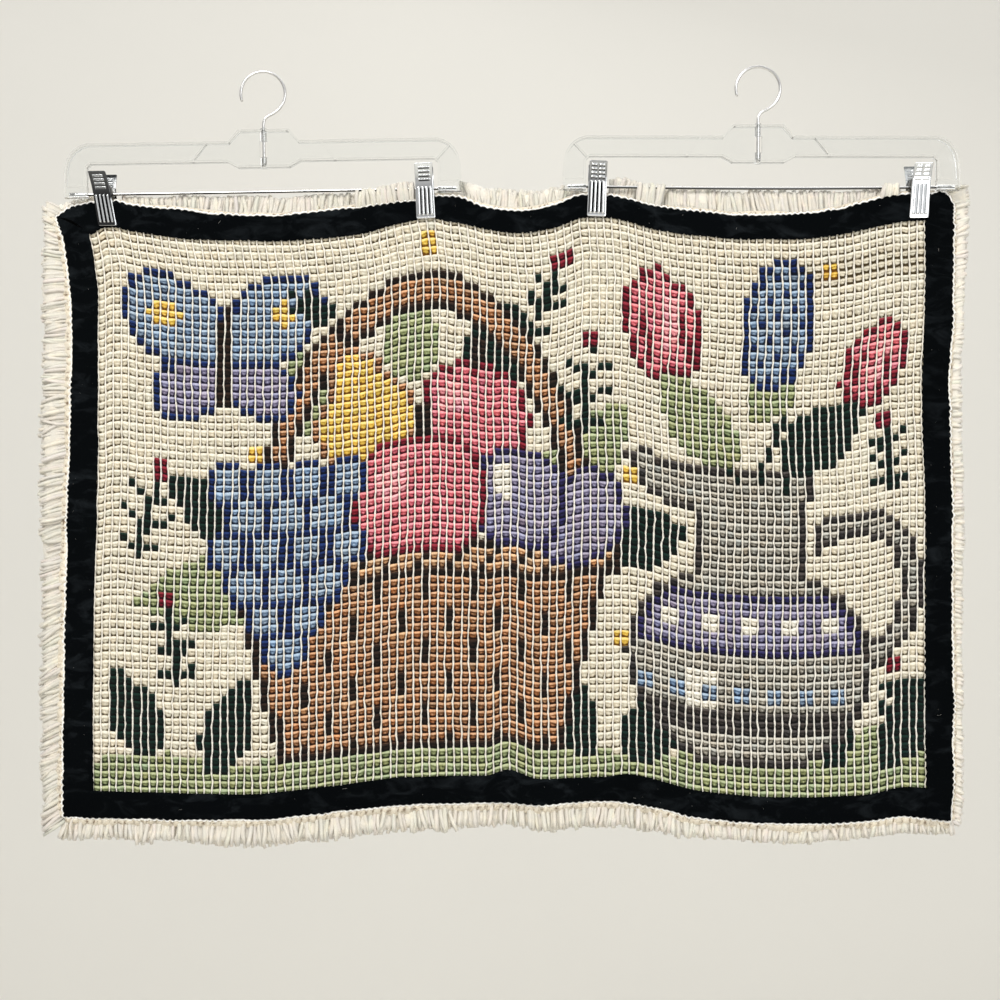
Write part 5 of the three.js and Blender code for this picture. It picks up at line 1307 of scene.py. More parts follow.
def edge_knots(side, material):
    """One row of plump knots along an edge, seen between the bound edge and the cut ends."""
    total = MESHES_DOWN if side in ("left", "right") else MESHES_ACROSS
    spots = np.array([0.06, 0.27, 0.50, 0.73, 0.94])
    t = (np.arange(total)[:, None] + spots[None, :]).ravel()
    n = len(t)
    w = np.array([-0.25, 0.02, 0.24, 0.50, 0.78, 1.0])
    root, out, way, other, key = edge_frame(side, t, 0.0)
    reach = np.full(n, EDGE_REACH[side] * 6.8)
    reach *= 1 + wander(n, 14, 0.10, RNG)
    if side == "top":
        rod_at, there = rod_z(root[:, 0])
        reach = np.where(there, np.minimum(reach, rod_at - ROD_RADIUS - 1.2 - root[:, 2]), reach)
        reach = np.maximum(reach, 0.8)
    cell = np.repeat(RNG.normal(0, 1, total), len(spots))
    crown = np.sin(np.pi * np.tile(spots, total)) ** 0.7
    p = root[:, None, :] + way * (w[None, :, None] * reach[:, None, None])
    p = p + other * (np.tan(np.radians(line(ANGLE[side])(key)))[:, None, None] * 0.4 * np.maximum(w, 0)[None, :, None] * reach[:, None, None])
    over = np.array([0.0, 0.55, 1.0, 0.95, 0.55, 0.0])
    rest = np.array([0.2, 0.4, 0.5, 0.9, 1.9, 3.4])
    lumps = crown[:, None] * over[None, :] * (1.25 + 0.18 * cell)[:, None] + RNG.normal(0, 0.10, (n, len(w)))
    p[..., 1] = root[:, 1][:, None] + rest[None, :] - lumps
    # painted light: each knot's crown is painted lighter and the dips between knots darker, with some painted shade at
    # random
    painted_light = np.array([0.2, 0.35, 0.45, 0.10, 0.0, 0.0])[None, :] * (0.4 + 0.6 * crown)[:, None]
    painted_light = painted_light - (1 - crown)[:, None] * np.array([0.1, 0.35, 0.55, 0.60, 0.40, 0.1])[None, :] * RNG.uniform(0.35, 1.0, (n, 1))
    painted_light = painted_light + RNG.normal(0, 0.10, (n, len(w))) - np.array([0, 0, 0, 0.42, 0.1, 0])[None, :] * (RNG.uniform(0, 1, (n, 1)) < 0.30)
    m = len(w)
    at_point = np.arange(n * m).reshape(n, m)
    a, b, c, d = at_point[:-1, :-1], at_point[1:, :-1], at_point[1:, 1:], at_point[:-1, 1:]
    quads = np.stack([a, b, c, d], -1).reshape(-1, 4)
    points = p.reshape(-1, 3)
    p0, p1, p3 = points[quads[0, 0]], points[quads[0, 1]], points[quads[0, 3]]
    if np.cross(p1 - p0, p3 - p0)[1] > 0:
        quads = quads[:, ::-1]
    ob = new_mesh(f"edge_knots_{side}", place_mm(points), quads)
    tone = 1 + RNG.normal(0, 0.02, (total, 1, 1)) * np.ones((total, len(spots) * m, 3))
    # the gap colour is painted shade and the pale colour a painted highlight
    for kind, colour in (("yarn", (226, 216, 197)), ("gap", (122, 104, 84)), ("pale", (246, 241, 228))):
        point_colours(ob, kind, np.clip(linear(colour) * tone.reshape(-1, 3), 0, 0.93))
    point_value(ob, "painted_light", painted_light.ravel())
    where_ = np.stack([np.repeat(t / total, m) * 0.99 + 0.005, np.tile(np.linspace(0.02, 0.98, m), n)], 1)
    uv_map(ob, "OFBake", where_[quads.ravel()])
    ob.data.materials.append(material)
    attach(ob, "root")
    return ob


edge_rows = [edge_knots(side, knot_yarn) for side in EDGE_REACH]


# ---- selvage: the white overcast edge outside the tape --------------------------------------------
def selvage(material):
    """Small uneven overcast stitches round the canvas's edge, between the tape and the pile."""
    step = 0.125
    around = []
    for i in np.arange(0, MESHES_ACROSS, step):
        around.append((i, 0.0, 0, 1))
    for j in np.arange(0, MESHES_DOWN, step):
        around.append((MESHES_ACROSS, j, 1, 0))
    for i in np.arange(MESHES_ACROSS, 0, -step):
        around.append((i, MESHES_DOWN, 0, -1))
    for j in np.arange(MESHES_DOWN, 0, -step):
        around.append((0.0, j, -1, 0))
    around = np.array(around, float)
    n = len(around)
    # stitches of uneven length, each a bead that is thin where the next one starts
    phase = np.cumsum(step / np.clip(0.58 + wander(n, 6, 0.14, RNG), 0.35, 0.9))
    swell = np.abs(np.sin(np.pi * phase))
    size = 0.42 + 0.60 * swell ** 0.8 * np.clip(1 + wander(n, 9, 0.30, RNG), 0.3, 1.6)
    p = place(around[:, 0], around[:, 1])
    side_of = np.where(around[:, 3] > 0, 0, np.where(around[:, 2] > 0, 1, np.where(around[:, 3] < 0, 2, 3)))
    drawn = np.choose(side_of, [scallop_at("top", around[:, 0]), scallop_at("right", around[:, 1]), scallop_at("bottom", around[:, 0]), scallop_at("left", around[:, 1])])
    out = 0.75 + 0.25 * swell + drawn
    p[:, 0] += around[:, 2] * out
    p[:, 2] += around[:, 3] * out
    p[:, 1] += -0.9
    tangent = unit(np.roll(p, -3, 0) - np.roll(p, 3, 0))
    one = unit(np.cross(tangent, np.array([0, 1, 0])))
    sides = 4
    a = 2 * np.pi * np.arange(sides) / sides
    ring = p[:, None, :] + size[:, None, None] * (np.cos(a)[None, :, None] * one[:, None, :] + np.sin(a)[None, :, None] * np.array([0, 1.0, 0]))
    at_ring = np.arange(n * sides).reshape(n, sides)
    nxt = np.roll(at_ring, -1, 0)
    quads = np.stack([at_ring, nxt, np.roll(nxt, -1, 1), np.roll(at_ring, -1, 1)], -1).reshape(-1, 4)
    ob = new_mesh("selvage_stitches", place_mm(ring.reshape(-1, 3)), quads)
    ob.data.materials.append(material)
    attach(ob, "root")
    return ob


def thread_material():
    """White overcasting thread, a little fuzzy."""
    n = Nodes("overcast_thread")
    fine = n.noise(1900, 3, 0.6)
    base = n.mix((0.95, 0.93, 0.88), (0.80, 0.76, 0.68), n.ramp(fine, 0.50, 0.78, 0.0, 0.5))
    n.link(base[0], base[1], n.shader, "Base Color")
    n.set(Roughness=0.85, Sheen_Weight=0.2, Sheen_Roughness=0.5, Specular_IOR_Level=0.2)
    b = n.bump(fine, 0.12 / 1000, 0.7)
    n.link(b[0], b[1], n.shader, "Normal")
    return n.material


edge_piece = selvage(thread_material())


# ---- binding tape -------------------------------------------------------------------------------------
def tape(name, side, node, material):
    """A length of black binding over the canvas's edge: closed, with rolled edges, puckers and a scalloped outside."""
    long_way = side in ("top", "bottom")
    total = MESHES_ACROSS if long_way else MESHES_DOWN
    fine = 6
    k = np.linspace(0, 1, total * fine + 1)
    w = np.array([0.0, 0.03, 0.09, 0.24, 0.44, 0.64, 0.82, 0.92, 0.975, 1.0])  # 0 is the outer edge
    n, m = len(k), len(w)
    K, W = np.broadcast_arrays(k[:, None], w[None, :])
    mitre = -0.06  # the turned corners lie one on the other
    if side == "top":
        i = lerp(W * I[1] + mitre, I[3] - W * I[1] - mitre, K)
        j = W * J[1]
        out = np.array([0, 0, 1.0])
    elif side == "bottom":
        i = lerp(W * I[1] + mitre, I[3] - 0.35 + 0 * W, K)
        j = J[3] - W * (J[3] - J[2])
        out = np.array([0, 0, -1.0])
    elif side == "left":
        j = lerp(W * J[1] + mitre, J[3] - W * (J[3] - J[2]) - mitre, K)
        i = W * I[1]
        out = np.array([-1.0, 0, 0])
    else:
        j = lerp(W * J[1] + mitre, J[3] + 0 * W, K)
        i = I[3] - W * (I[3] - I[2])
        out = np.array([1.0, 0, 0])
    p = place(np.clip(i, 0, MESHES_ACROSS), np.clip(j, 0, MESHES_DOWN))
    at_edge = np.clip(1 - W / 0.12, 0, 1)
    at_inner = np.clip(1 - (1 - W) / 0.12, 0, 1)
    along = i if long_way else j
    scallop = scallop_at(side, along)
    # The inner edge lies between the warps and knots, which lap over it a little.
    off = np.abs(along - np.round(along))
    lap = {
        "top": np.interp(off, [0, 0.10, 0.22, 0.34, 0.5], [0.95, 0.5, -0.45, -0.10, 0.25]),
        "bottom": np.interp(off, [0, 0.10, 0.22, 0.34, 0.5], [0.60, 0.3, -0.25, 0.0, 0.15]),
        "left": np.interp(off, [0, 0.25, 0.5], [0.25, 0.0, -0.20]),
        "right": np.interp(off, [0, 0.12, 0.3, 0.5], [-0.55, -0.35, 0.35, 0.60]),
    }[side]
    ripple = wander(n, 16, 0.30, RNG)[:, None] - lap * (1 + wander(n, 8, 0.35, RNG)[:, None])
    p = p + out * (at_edge * scallop - np.clip(1 - (1 - W) / 0.07, 0, 1) * ripple)[..., None]
    # puckers: low ridges that cross the tape at a slant
    lift = np.zeros((n, m))
    for _ in range(int(total * 0.55)):
        centre, slant, wide, tall = RNG.uniform(0, 1), RNG.normal(0, 1.3), RNG.uniform(0.5, 1.8), RNG.uniform(0.08, 0.34)
        d = (K - centre) * total - slant * (W - 0.5) * 3
        lift += tall * np.exp(-((d / wide) ** 2)) * np.sin(np.pi * np.clip(W * RNG.uniform(0.8, 1.3), 0, 1))
    edge_roll = 0.75 * np.clip(1 - W / 0.09, 0, 1) ** 2 + 0.55 * np.clip(1 - (1 - W) / 0.09, 0, 1) ** 2
    seam = 0.22 * np.exp(-(((W - 0.12) / 0.03) ** 2)) + 0.18 * np.exp(-(((W - 0.88) / 0.03) ** 2))
    join = np.zeros_like(lift)
    if side == "bottom":
        t = np.clip(np.minimum(p[..., 0] - JOIN["from"], JOIN["to"] - p[..., 0]) / 5, 0, 1)
        join = JOIN["rise"] * smooth(t)
        bump = np.exp(-(((p[..., 0] + 3) / 9) ** 2)) * np.exp(-(((1 - W) / 0.16) ** 2))
        join += 0.8 * bump
    over = np.zeros_like(lift)  # a side tape lies over the end of the tape that it meets
    if side == "right":
        over = 1.35 * smooth((j - 73.2) / 1.2)
    if side in ("left", "right"):
        over = over + 0.12
    front = p.copy()
    front[..., 1] += TAPE_FRONT - np.clip(lift, 0, 0.65) + edge_roll + seam - join - over
    back = p.copy()
    back[..., 1] += TAPE_BACK - over
    points = np.concatenate([front.reshape(-1, 3), back[:, [0, m // 2, m - 1]].reshape(-1, 3)])
    f = np.arange(n * m).reshape(n, m)
    b = n * m + np.arange(n * 3).reshape(n, 3)
    quads = [
        np.stack([f[:-1, :-1], f[1:, :-1], f[1:, 1:], f[:-1, 1:]], -1).reshape(-1, 4),
        np.stack([b[:-1, :-1], b[:-1, 1:], b[1:, 1:], b[1:, :-1]], -1).reshape(-1, 4),
        np.stack([f[:-1, 0], b[:-1, 0], b[1:, 0], f[1:, 0]], -1).reshape(-1, 4),
        np.stack([f[:-1, -1], f[1:, -1], b[1:, -1], b[:-1, -1]], -1).reshape(-1, 4),
    ]
    quads = np.concatenate(quads)
    ends = [np.concatenate([f[0, ::-1], b[0]])[None], np.concatenate([f[-1], b[-1, ::-1]])[None]]
    # face outwards whichever way the grid runs
    a, c, d = points[quads[0, 0]], points[quads[0, 1]], points[quads[0, 3]]
    flip = np.cross(c - a, d - a)[1] > 0
    if flip:
        quads = quads[:, ::-1]
        ends = [e[:, ::-1] for e in ends]
    ob = new_mesh(name, place_mm(points), [quads, *ends])
    ob.data.materials.append(material)
    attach(ob, "root")
    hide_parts(node)
    return ob


black = tape_material()
tapes = [tape(f"binding_{s}", s, f"tape_{s}", black) for s in ("top", "bottom", "left", "right")]


# ---- loose fibres: lint on the black and stray hairs past the fringe ------------------------------
def hairs(name, roots, ways, lengths, radius, colour, material):
    n, steps = len(roots), 5
    s = np.linspace(0, 1, steps)[None, :, None]
    side = unit(np.cross(ways, np.array([0, 1, 0])))
    curl_ = RNG.normal(0, 0.35, (n, 1, 1))
    p = roots[:, None, :] + ways[:, None, :] * lengths[:, None, None] * s + side[:, None, :] * curl_ * lengths[:, None, None] * s ** 2
    p[..., 1] += RNG.normal(0, 0.25, (n, 1)) * s[..., 0]
    radii = np.full((n, steps), radius) * np.array([1, 1, 1, 0.8, 0.4])
    points, quads, caps = tubes(p, radii, 3)
    ob = new_mesh(name, place_mm(points), [quads, caps])
    which, v, u = tube_corners(n, steps, 3)
    corner_colours(ob, "yarn", np.broadcast_to(np.asarray(colour), (len(which), 3)) * RNG.uniform(0.85, 1.05, (n, 1))[which])
    uv_map(ob, "OFBake", cell_uv(which, u, v, n))
    ob.data.materials.append(material)
    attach(ob, "root")
    return ob


def lint(material):
    n = 64
    which = RNG.integers(0, 4, n)
    k, w = RNG.uniform(0.04, 0.96, n), RNG.uniform(0.12, 0.88, n)
    i = np.where(which == 0, k * 112, np.where(which == 1, 4 + k * 103, np.where(which == 2, w * 4, 112 - w * 4)))
    j = np.where(which == 0, w * 3.5, np.where(which == 1, 78 - w * 3.5, k * 78))
    roots = place(i, j)
    roots[:, 1] += TAPE_FRONT - 0.45
    a = RNG.uniform(0, 2 * np.pi, n)
    ways = np.stack([np.cos(a), np.zeros(n), np.sin(a)], 1)
    near = (np.abs(roots[:, 0:1] - GRIP_X[None, :]).min(1) > 14) | (j > 5)
    lengths = np.where(RNG.uniform(0, 1, n) < 0.86, RNG.uniform(0.3, 0.8, n), RNG.uniform(2, 6, n))
    ob = hairs("lint", roots[near], ways[near], lengths[near], 0.10, linear((150, 148, 142)), material)
    return ob


lint_piece = lint(fringe_yarn)


# ---- metal parts ------------------------------------------------------------------------------------------
def turned(p, about_y=0.0, about_z=0.0, move=(0, 0, 0)):
    """Turns points about Y by -about_y, as the part does, then about Z, and moves them."""
    p = np.asarray(p, float)
    a = -rad(about_y)
    x, y, z = p[..., 0], p[..., 1], p[..., 2]
    x, z = x * math.cos(a) + z * math.sin(a), -x * math.sin(a) + z * math.cos(a)
    b = rad(about_z)
    x, y = x * math.cos(b) - y * math.sin(b), x * math.sin(b) + y * math.cos(b)
    return np.stack([x, y, z], -1) + np.asarray(move, float)


def rod_height(h, x):
    return -h["sag"] * np.maximum(0, 1 - (x / HANGER["arm_inner"]) ** 2)


def wire(name, path, radius, sides, material, node=None, ends=True, painted_tones=None):
    """A round wire along a path in mm, with rounded ends. An optional table gives its plating a painted reflection tone
    by how far up each side of it faces.
    """
    path = np.asarray(path, float)
    radii = np.full(len(path), radius)
    if ends:
        first = path[0] + (path[0] - path[1]) * 0
        radii[0], radii[-1] = radius * 0.55, radius * 0.55
    tangent = unit(np.gradient(path, axis=0))
    up = np.array([0.0, 1.0, 0.0])
    one = unit(np.cross(tangent, up))
    two = np.cross(tangent, one)
    a = 2 * np.pi * np.arange(sides) / sides
    ring = path[:, None, :] + radii[:, None, None] * (np.cos(a)[None, :, None] * one[:, None, :] + np.sin(a)[None, :, None] * two[:, None, :])
    n = len(path)
    at_ring = np.arange(n * sides).reshape(n, sides)
    quads = np.stack([at_ring[:-1], at_ring[1:], np.roll(at_ring[1:], -1, 1), np.roll(at_ring[:-1], -1, 1)], -1).reshape(-1, 4)
    caps = np.stack([at_ring[0], at_ring[-1, ::-1]])
    ob = new_mesh(name, place_mm(ring.reshape(-1, 3)), [quads, caps])
    if painted_tones:
        # painted reflection: each side's tone is set by how far up it faces
        up_facing = (ring - path[:, None, :])[..., 2] / radii[:, None]
        tone = np.interp(up_facing.ravel(), [t[0] for t in painted_tones], [t[1] for t in painted_tones])
        index = np.concatenate([quads.ravel(), caps.ravel()])
        corner_colours(ob, "painted_light_on_plating", np.stack([tone[index], tone[index] * 0.99, tone[index] * 0.96], 1))
    ob.data.materials.append(material)
    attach(ob, "root")
    if node:
        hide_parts(node)
    return ob


def hook_path():
    reach, radius, centre, neck = HOOK["foot"], HOOK["radius"], HOOK["centre"], HOOK["neck"]
    start = -math.pi / 2 + 0.62
    sweep = math.pi + 0.35 - start
    join = np.array([radius * math.cos(start), centre + radius * math.sin(start)])
    bend = math.hypot(join[0], join[1] - neck) * 1.05
    pts = [(0, 0, z) for z in np.linspace(reach, neck, 12, endpoint=False)]
    p0, p1 = np.array([0, neck]), np.array([0, neck + bend * HOOK["ease"]])
    p2 = join + np.array([math.sin(start), -math.cos(start)]) * bend * HOOK["ease"]
    for u in np.linspace(0, 1, 14, endpoint=False):
        w = ((1 - u) ** 3, 3 * u * (1 - u) ** 2, 3 * u * u * (1 - u), u ** 3)
        q = w[0] * p0 + w[1] * p1 + w[2] * p2 + w[3] * join
        pts.append((q[0], 0, q[1]))
    for a in np.linspace(start, start + sweep, 48):
        pts.append((radius * math.cos(a), 0, centre + radius * math.sin(a)))
    return np.array(pts, float)


bright_wire = chrome_material("bright_nickel_wire", (0.66, 0.65, 0.63), 0.16)
rod_wire = chrome_material("rod_plating", None, 0.16, 0.3, "painted_light_on_plating")
chrome = chrome_material("clip_chrome", None, 0.10, 0.3, "painted_light_on_plating")
spring_steel = chrome_material("spring_steel", (0.20, 0.20, 0.19), 0.26, 0.5)
# Painted reflection: the rod's underside is painted dark, as it would mirror the dark tape below it, and its top
# painted bright, as it would mirror the room.
ROD_PAINTED_TONES = [(-1, 0.75), (-0.9, 0.45), (-0.8, 0.05), (-0.1, 0.04), (0.15, 0.60), (0.35, 0.95), (0.85, 0.92), (0.95, 0.45), (1, 0.55)]

for h in HANGERS:
    where = (h["x"], MID_Y, h["z"])
    wire(f"hook_{h['name']}_wire", turned(hook_path() + np.array([h["stem"], 0, 0]), h["tilt"], 0, where), HOOK["wire"], 14, bright_wire, f"hook_{h['name']}")
    end = HANGER["half"] - 4.3
    x = np.linspace(-end, end, 61)
    path = np.stack([x, 0 * x, rod_height(h, x)], 1)
    wire(f"rod_{h['name']}_wire", turned(path, h["tilt"], 0, where), ROD_RADIUS, 24, rod_wire, f"rod_{h['name']}", painted_tones=ROD_PAINTED_TONES)

jaw_inner = line(JAW)


def shoulder(d, reach):
    """The height of a pressed rib, 0 to 1, at a distance from its middle line: flat on top with round shoulders."""
    q = np.clip((reach - d) / (0.62 * reach), 0, 1)
    return np.sqrt(1 - (1 - q) ** 2)


CLIP_PAINTED_TONES = [  # each clip's painted reflections and shade, how bright its plating is painted: thumb end, grip, bar tops, bar edges, under a bar, rib tops, between ribs, lip, ears, back plate
    {"thumb": 0.095, "grip": 0.05, "bar": 0.78, "edge": 0.98, "under": 0.03, "rib": 0.16, "line": 0.98, "gap": 0.02, "lip": 0.035, "ear": 0.04, "back": 0.36, "from": -5.3, "tip": 0.05},
    {"thumb": 0.84, "grip": 0.62, "bar": 0.97, "edge": 0.98, "under": 0.03, "rib": 0.93, "line": 0.98, "gap": 0.10, "lip": 0.85, "ear": 0.05, "back": 0.30, "from": -5.3, "tip": 0.2},
    {"thumb": 0.46, "grip": 0.74, "bar": 0.96, "edge": 0.99, "under": 0.03, "rib": 0.98, "line": 0.98, "gap": 0.02, "lip": 0.95, "ear": 0.05, "back": 0.30, "from": -7.0, "tip": 0.2},
    {"thumb": 0.86, "grip": 0.80, "bar": 0.90, "edge": 0.96, "under": 0.52, "rib": 0.86, "line": 0.99, "gap": 0.20, "lip": 0.97, "ear": 0.03, "back": 0.80, "from": -5.3, "tip": 0.35},
]
LEVEL = [  # the play in each clip's folds: how its sheets' ends slope, the side that stays put, the drop, and how the back sheet's thumb end swings
    (-0.18, -8.0, 0.4, 0.10), (0.0, 0.0, 0.0, 0.0), (0.0, 0.0, 0.0, 0.0), (0.10, 8.5, 0.0, -0.06),
]


def jaw_plate(name, back, matrix, material, node, ear_at, look, painted_tones, wider, level):
    """A stamped jaw: one sheet with rounded corners, ribs pressed out of it, a lip and two ears folded in to the rod."""
    low, high = JAW[0][0], JAW[-1][0]
    wide = CLIP["grip_half"]
    rib, cross = UPRIGHT_RIBS["half"], CROSS_RIBS["half"]
    shape = LOOKS[look]
    offsets = np.array([-1.0, -0.82, -0.45, 0.0, 0.45, 0.82, 1.0])
    columns = [(-wide, -wide + 0.2, -wide + 0.65, -wide + 1.3), (wide - 1.3, wide - 0.65, wide - 0.2, wide), (0.0, -3.53, 3.53)]
    columns += [tuple(x + rib * offsets) for x in UPRIGHT_RIBS["at"]]
    X0 = np.unique(np.round(np.concatenate([np.array(c) for c in columns]), 3))
    top = shape["rib_top"]
    rows = [(low, low + 0.15, low + 0.5, low + 1.0, low + 1.5, low + 2.0, low + 2.4), (high - 2.1, high - 1.3, high - 0.6, high - 0.2, high)]
    rows += [tuple(UPRIGHT_RIBS["low"] + np.array([-0.1, 0.2, 0.6, 1.2, 2.2])), tuple(np.arange(-19.0, -1.0, 2.5)), tuple(top + np.array([-1.8, -0.9, -0.45, -0.1, 0.15, 0.5])), (5.2,)]
    rows += [tuple(z + cross * offsets) for z in CROSS_RIBS["at"]] + [tuple((np.array(CROSS_RIBS["at"])[:-1] + np.array(CROSS_RIBS["at"])[1:]) / 2)]
    z = np.unique(np.round(np.concatenate([np.array(r) for r in rows]), 2))
    nu, nz = len(X0), len(z)
    Z, Q = np.meshgrid(z, X0, indexing="ij")
    half = lerp(CLIP["grip_half"], CLIP["thumb_half"], (z - low) / (high - low))
    for k, v in enumerate(z):  # round the four corners of the sheet
        corner = 1.5 if v < 0 else 0.9
        d = min(v - low, high - v)
        if d < corner:
            half[k] -= corner - math.sqrt(max(corner ** 2 - (corner - d) ** 2, 0))
    X = Q * (half / wide)[:, None]
    base = jaw_inner(Z)
    rise = np.zeros_like(Z)
    # the plating's painted reflections and painted shade, fixed on the sheet by place
    tone = np.where(Z > 3.5, painted_tones["thumb"], painted_tones["grip"]) * np.ones_like(Z)
    tone = lerp(tone, painted_tones["lip"], np.clip((low + 1.9 - Z) / 0.5, 0, 1))
    # painted shade between the upright ribs
    between = np.clip((Z - (UPRIGHT_RIBS["low"] + 0.2)) / 0.6, 0, 1) * np.clip((top - 0.6 - Z) / 0.8, 0, 1) * ((Q > painted_tones["from"]) & (Q < 5.3))
    tone = lerp(tone, painted_tones["gap"], between)
    for at_x in UPRIGHT_RIBS["at"]:
        mid, span = (UPRIGHT_RIBS["low"] + top) / 2, (top - UPRIGHT_RIBS["low"]) / 2
        d = np.hypot(np.maximum(np.abs(Z - mid) - (span - rib), 0), Q - at_x)
        r = shoulder(d, rib)
        rise = np.maximum(rise, 0.95 * r)
        tone = np.where(r > 0.05, lerp(painted_tones["gap"], painted_tones["rib"], smooth((r - 0.1) / 0.75)), tone)
        if painted_tones["rib"] < 0.5:  # on a dark plate a painted highlight runs down one shoulder of each rib
            lit = np.exp(-(((Q - at_x + 0.22 * rib) / (0.74 * rib)) ** 4)) * (r > 0.25)
            tone = lerp(tone, painted_tones["line"], lit)
    for at_z in CROSS_RIBS["at"]:
        for at_x in shape["middles"]:
            centre = at_z + shape["arch"] * (1 - ((Q - at_x) / shape["half"]) ** 2)
            d = np.hypot(np.maximum(np.abs(Q - at_x) - (shape["half"] - cross), 0), Z - centre)
            r = shoulder(d, cross)
            here = r > 0.05
            rise = np.maximum(rise, 0.95 * r)
            up = (Z - centre) / cross
            face = lerp(painted_tones["edge"], painted_tones["bar"], smooth((r - 0.55) / 0.4))
            tone = np.where(here, face, tone)
            along = np.abs(Q - at_x) < shape["half"]
            if painted_tones["rib"] < 0.5:  # painted shade in a hollow along the bar, and a grey painted band on its lower shoulder
                tone = np.where((up < -0.10) & (up > -0.70) & along, painted_tones["under"], tone)
                tone = np.where((up <= -0.70) & (up > -1.1) & along, 0.36, tone)
            else:
                # painted shade under each bar
                tone = np.where((up < -0.35) & (up > -1.25) & along, painted_tones["under"], tone)
    edge_distance = np.minimum.reduce([(half[:, None] - np.abs(X)), Z - low, high - Z])
    if painted_tones["rib"] < 0.5 and not back:  # a painted highlight down one side of the sheet's edge and a grey painted band along the foot
        tone = np.where((half[:, None] - X < 0.7) & (Z < -3), 0.90, tone)
        tone = np.where(Z - low < 0.3, 0.42, tone)
    turn_in = 0.45 * np.clip(1 - edge_distance / 0.6, 0, 1) ** 2
    outer = np.stack([X, base - CLIP["sheet"] - rise + turn_in, Z], -1)
    inner = np.stack([X, base - 0.85 * rise, Z], -1)
    pts = np.concatenate([outer.reshape(-1, 3), inner.reshape(-1, 3)])
    if back:
        # the back plate's painted tones are scaled to its own brightness, its thumb tip painted on its own
        tone = np.clip(tone * painted_tones["back"] / max(painted_tones["thumb"], 0.1), 0.02, 0.97)
        tone = np.where(Z > high - 2.2, painted_tones["tip"], tone)
    # the inner face is painted darker on a front jaw
    shade = [np.concatenate([tone.ravel(), (tone * (1.0 if back else 0.8)).ravel()])]
    f = np.arange(nz * nu).reshape(nz, nu)
    b = f + nz * nu
    quads = [
        np.stack([f[:-1, :-1], f[:-1, 1:], f[1:, 1:], f[1:, :-1]], -1).reshape(-1, 4),
        np.stack([f[0, :-1], b[0, :-1], b[0, 1:], f[0, 1:]], -1).reshape(-1, 4),
        np.stack([f[-1, :-1], f[-1, 1:], b[-1, 1:], b[-1, :-1]], -1).reshape(-1, 4),
        np.stack([f[:-1, 0], f[1:, 0], b[1:, 0], b[:-1, 0]], -1).reshape(-1, 4),
        np.stack([f[:-1, -1], b[:-1, -1], b[1:, -1], f[1:, -1]], -1).reshape(-1, 4),
        np.stack([b[:-1, :-1], b[1:, :-1], b[1:, 1:], b[:-1, 1:]], -1).reshape(-1, 4),
    ]
    quads = np.concatenate(quads)
    # two ears: rounded plates folded back to the rod
    groups = [quads]
    sheet_half = CLIP["sheet"] / 2
    start = len(pts)
    for sign in (-1, 1):
        x = sign * ear_at
        r = CLIP["ear_radius"]
        outline = [(-5.6, -r - 2.6)] + [(r * math.cos(a), r * math.sin(a)) for a in np.linspace(-math.pi / 2, math.pi / 2, 15)] + [(-6.4, r + 2.2)]
        outline = np.array(outline)
        m = len(outline)
        inset = 0.25
        centre = outline.mean(0)
        shrunk = centre + (outline - centre) * (1 - inset / 4)
        layers = [
            np.stack([np.full(m, x - sheet_half), shrunk[:, 0], shrunk[:, 1]], 1),
            np.stack([np.full(m, x - sheet_half + inset), outline[:, 0], outline[:, 1]], 1),
            np.stack([np.full(m, x + sheet_half - inset), outline[:, 0], outline[:, 1]], 1),
            np.stack([np.full(m, x + sheet_half), shrunk[:, 0], shrunk[:, 1]], 1),
        ]
        base_i = start
        pts = np.concatenate([pts] + layers)
        # the ears' painted tone
        shade.append(np.full(4 * m, painted_tones["ear"]))
        ring = base_i + np.arange(4 * m).reshape(4, m)
        walls = np.stack([ring[:-1], ring[1:], np.roll(ring[1:], -1, 1), np.roll(ring[:-1], -1, 1)], -1).reshape(-1, 4)
        groups.append(walls)
        groups.append(np.stack([ring[0], ring[-1, ::-1]]))
        start += 4 * m
    if back:
        pts = pts * np.array([-1, -1, 1])
    sheet = np.arange(len(pts)) < 2 * nz * nu
    slope_, stays, drop, swing = level
    pts[:, 2] += np.where(sheet, slope_ * (pts[:, 0] - stays) - drop, 0.0)
    if back:
        pts[:, 0] += np.where(sheet, swing * np.maximum(pts[:, 2], 0), 0.0)
    pts = turned(pts * np.array([wider, 1, 1]), *matrix)
    ob = new_mesh(name, place_mm(pts), groups)
    shade = np.concatenate(shade)[np.concatenate([g.ravel() for g in groups])]
    # the painted reflections and shade go on as a colour attribute
    corner_colours(ob, "painted_light_on_plating", np.stack([shade * 0.985, shade, shade * 1.0], 1))
    ob.data.materials.append(material)
    mesh = ob.data
    mesh.set_sharp_from_angle(angle=rad(62))
    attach(ob, "root")
    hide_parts(node)
    return ob


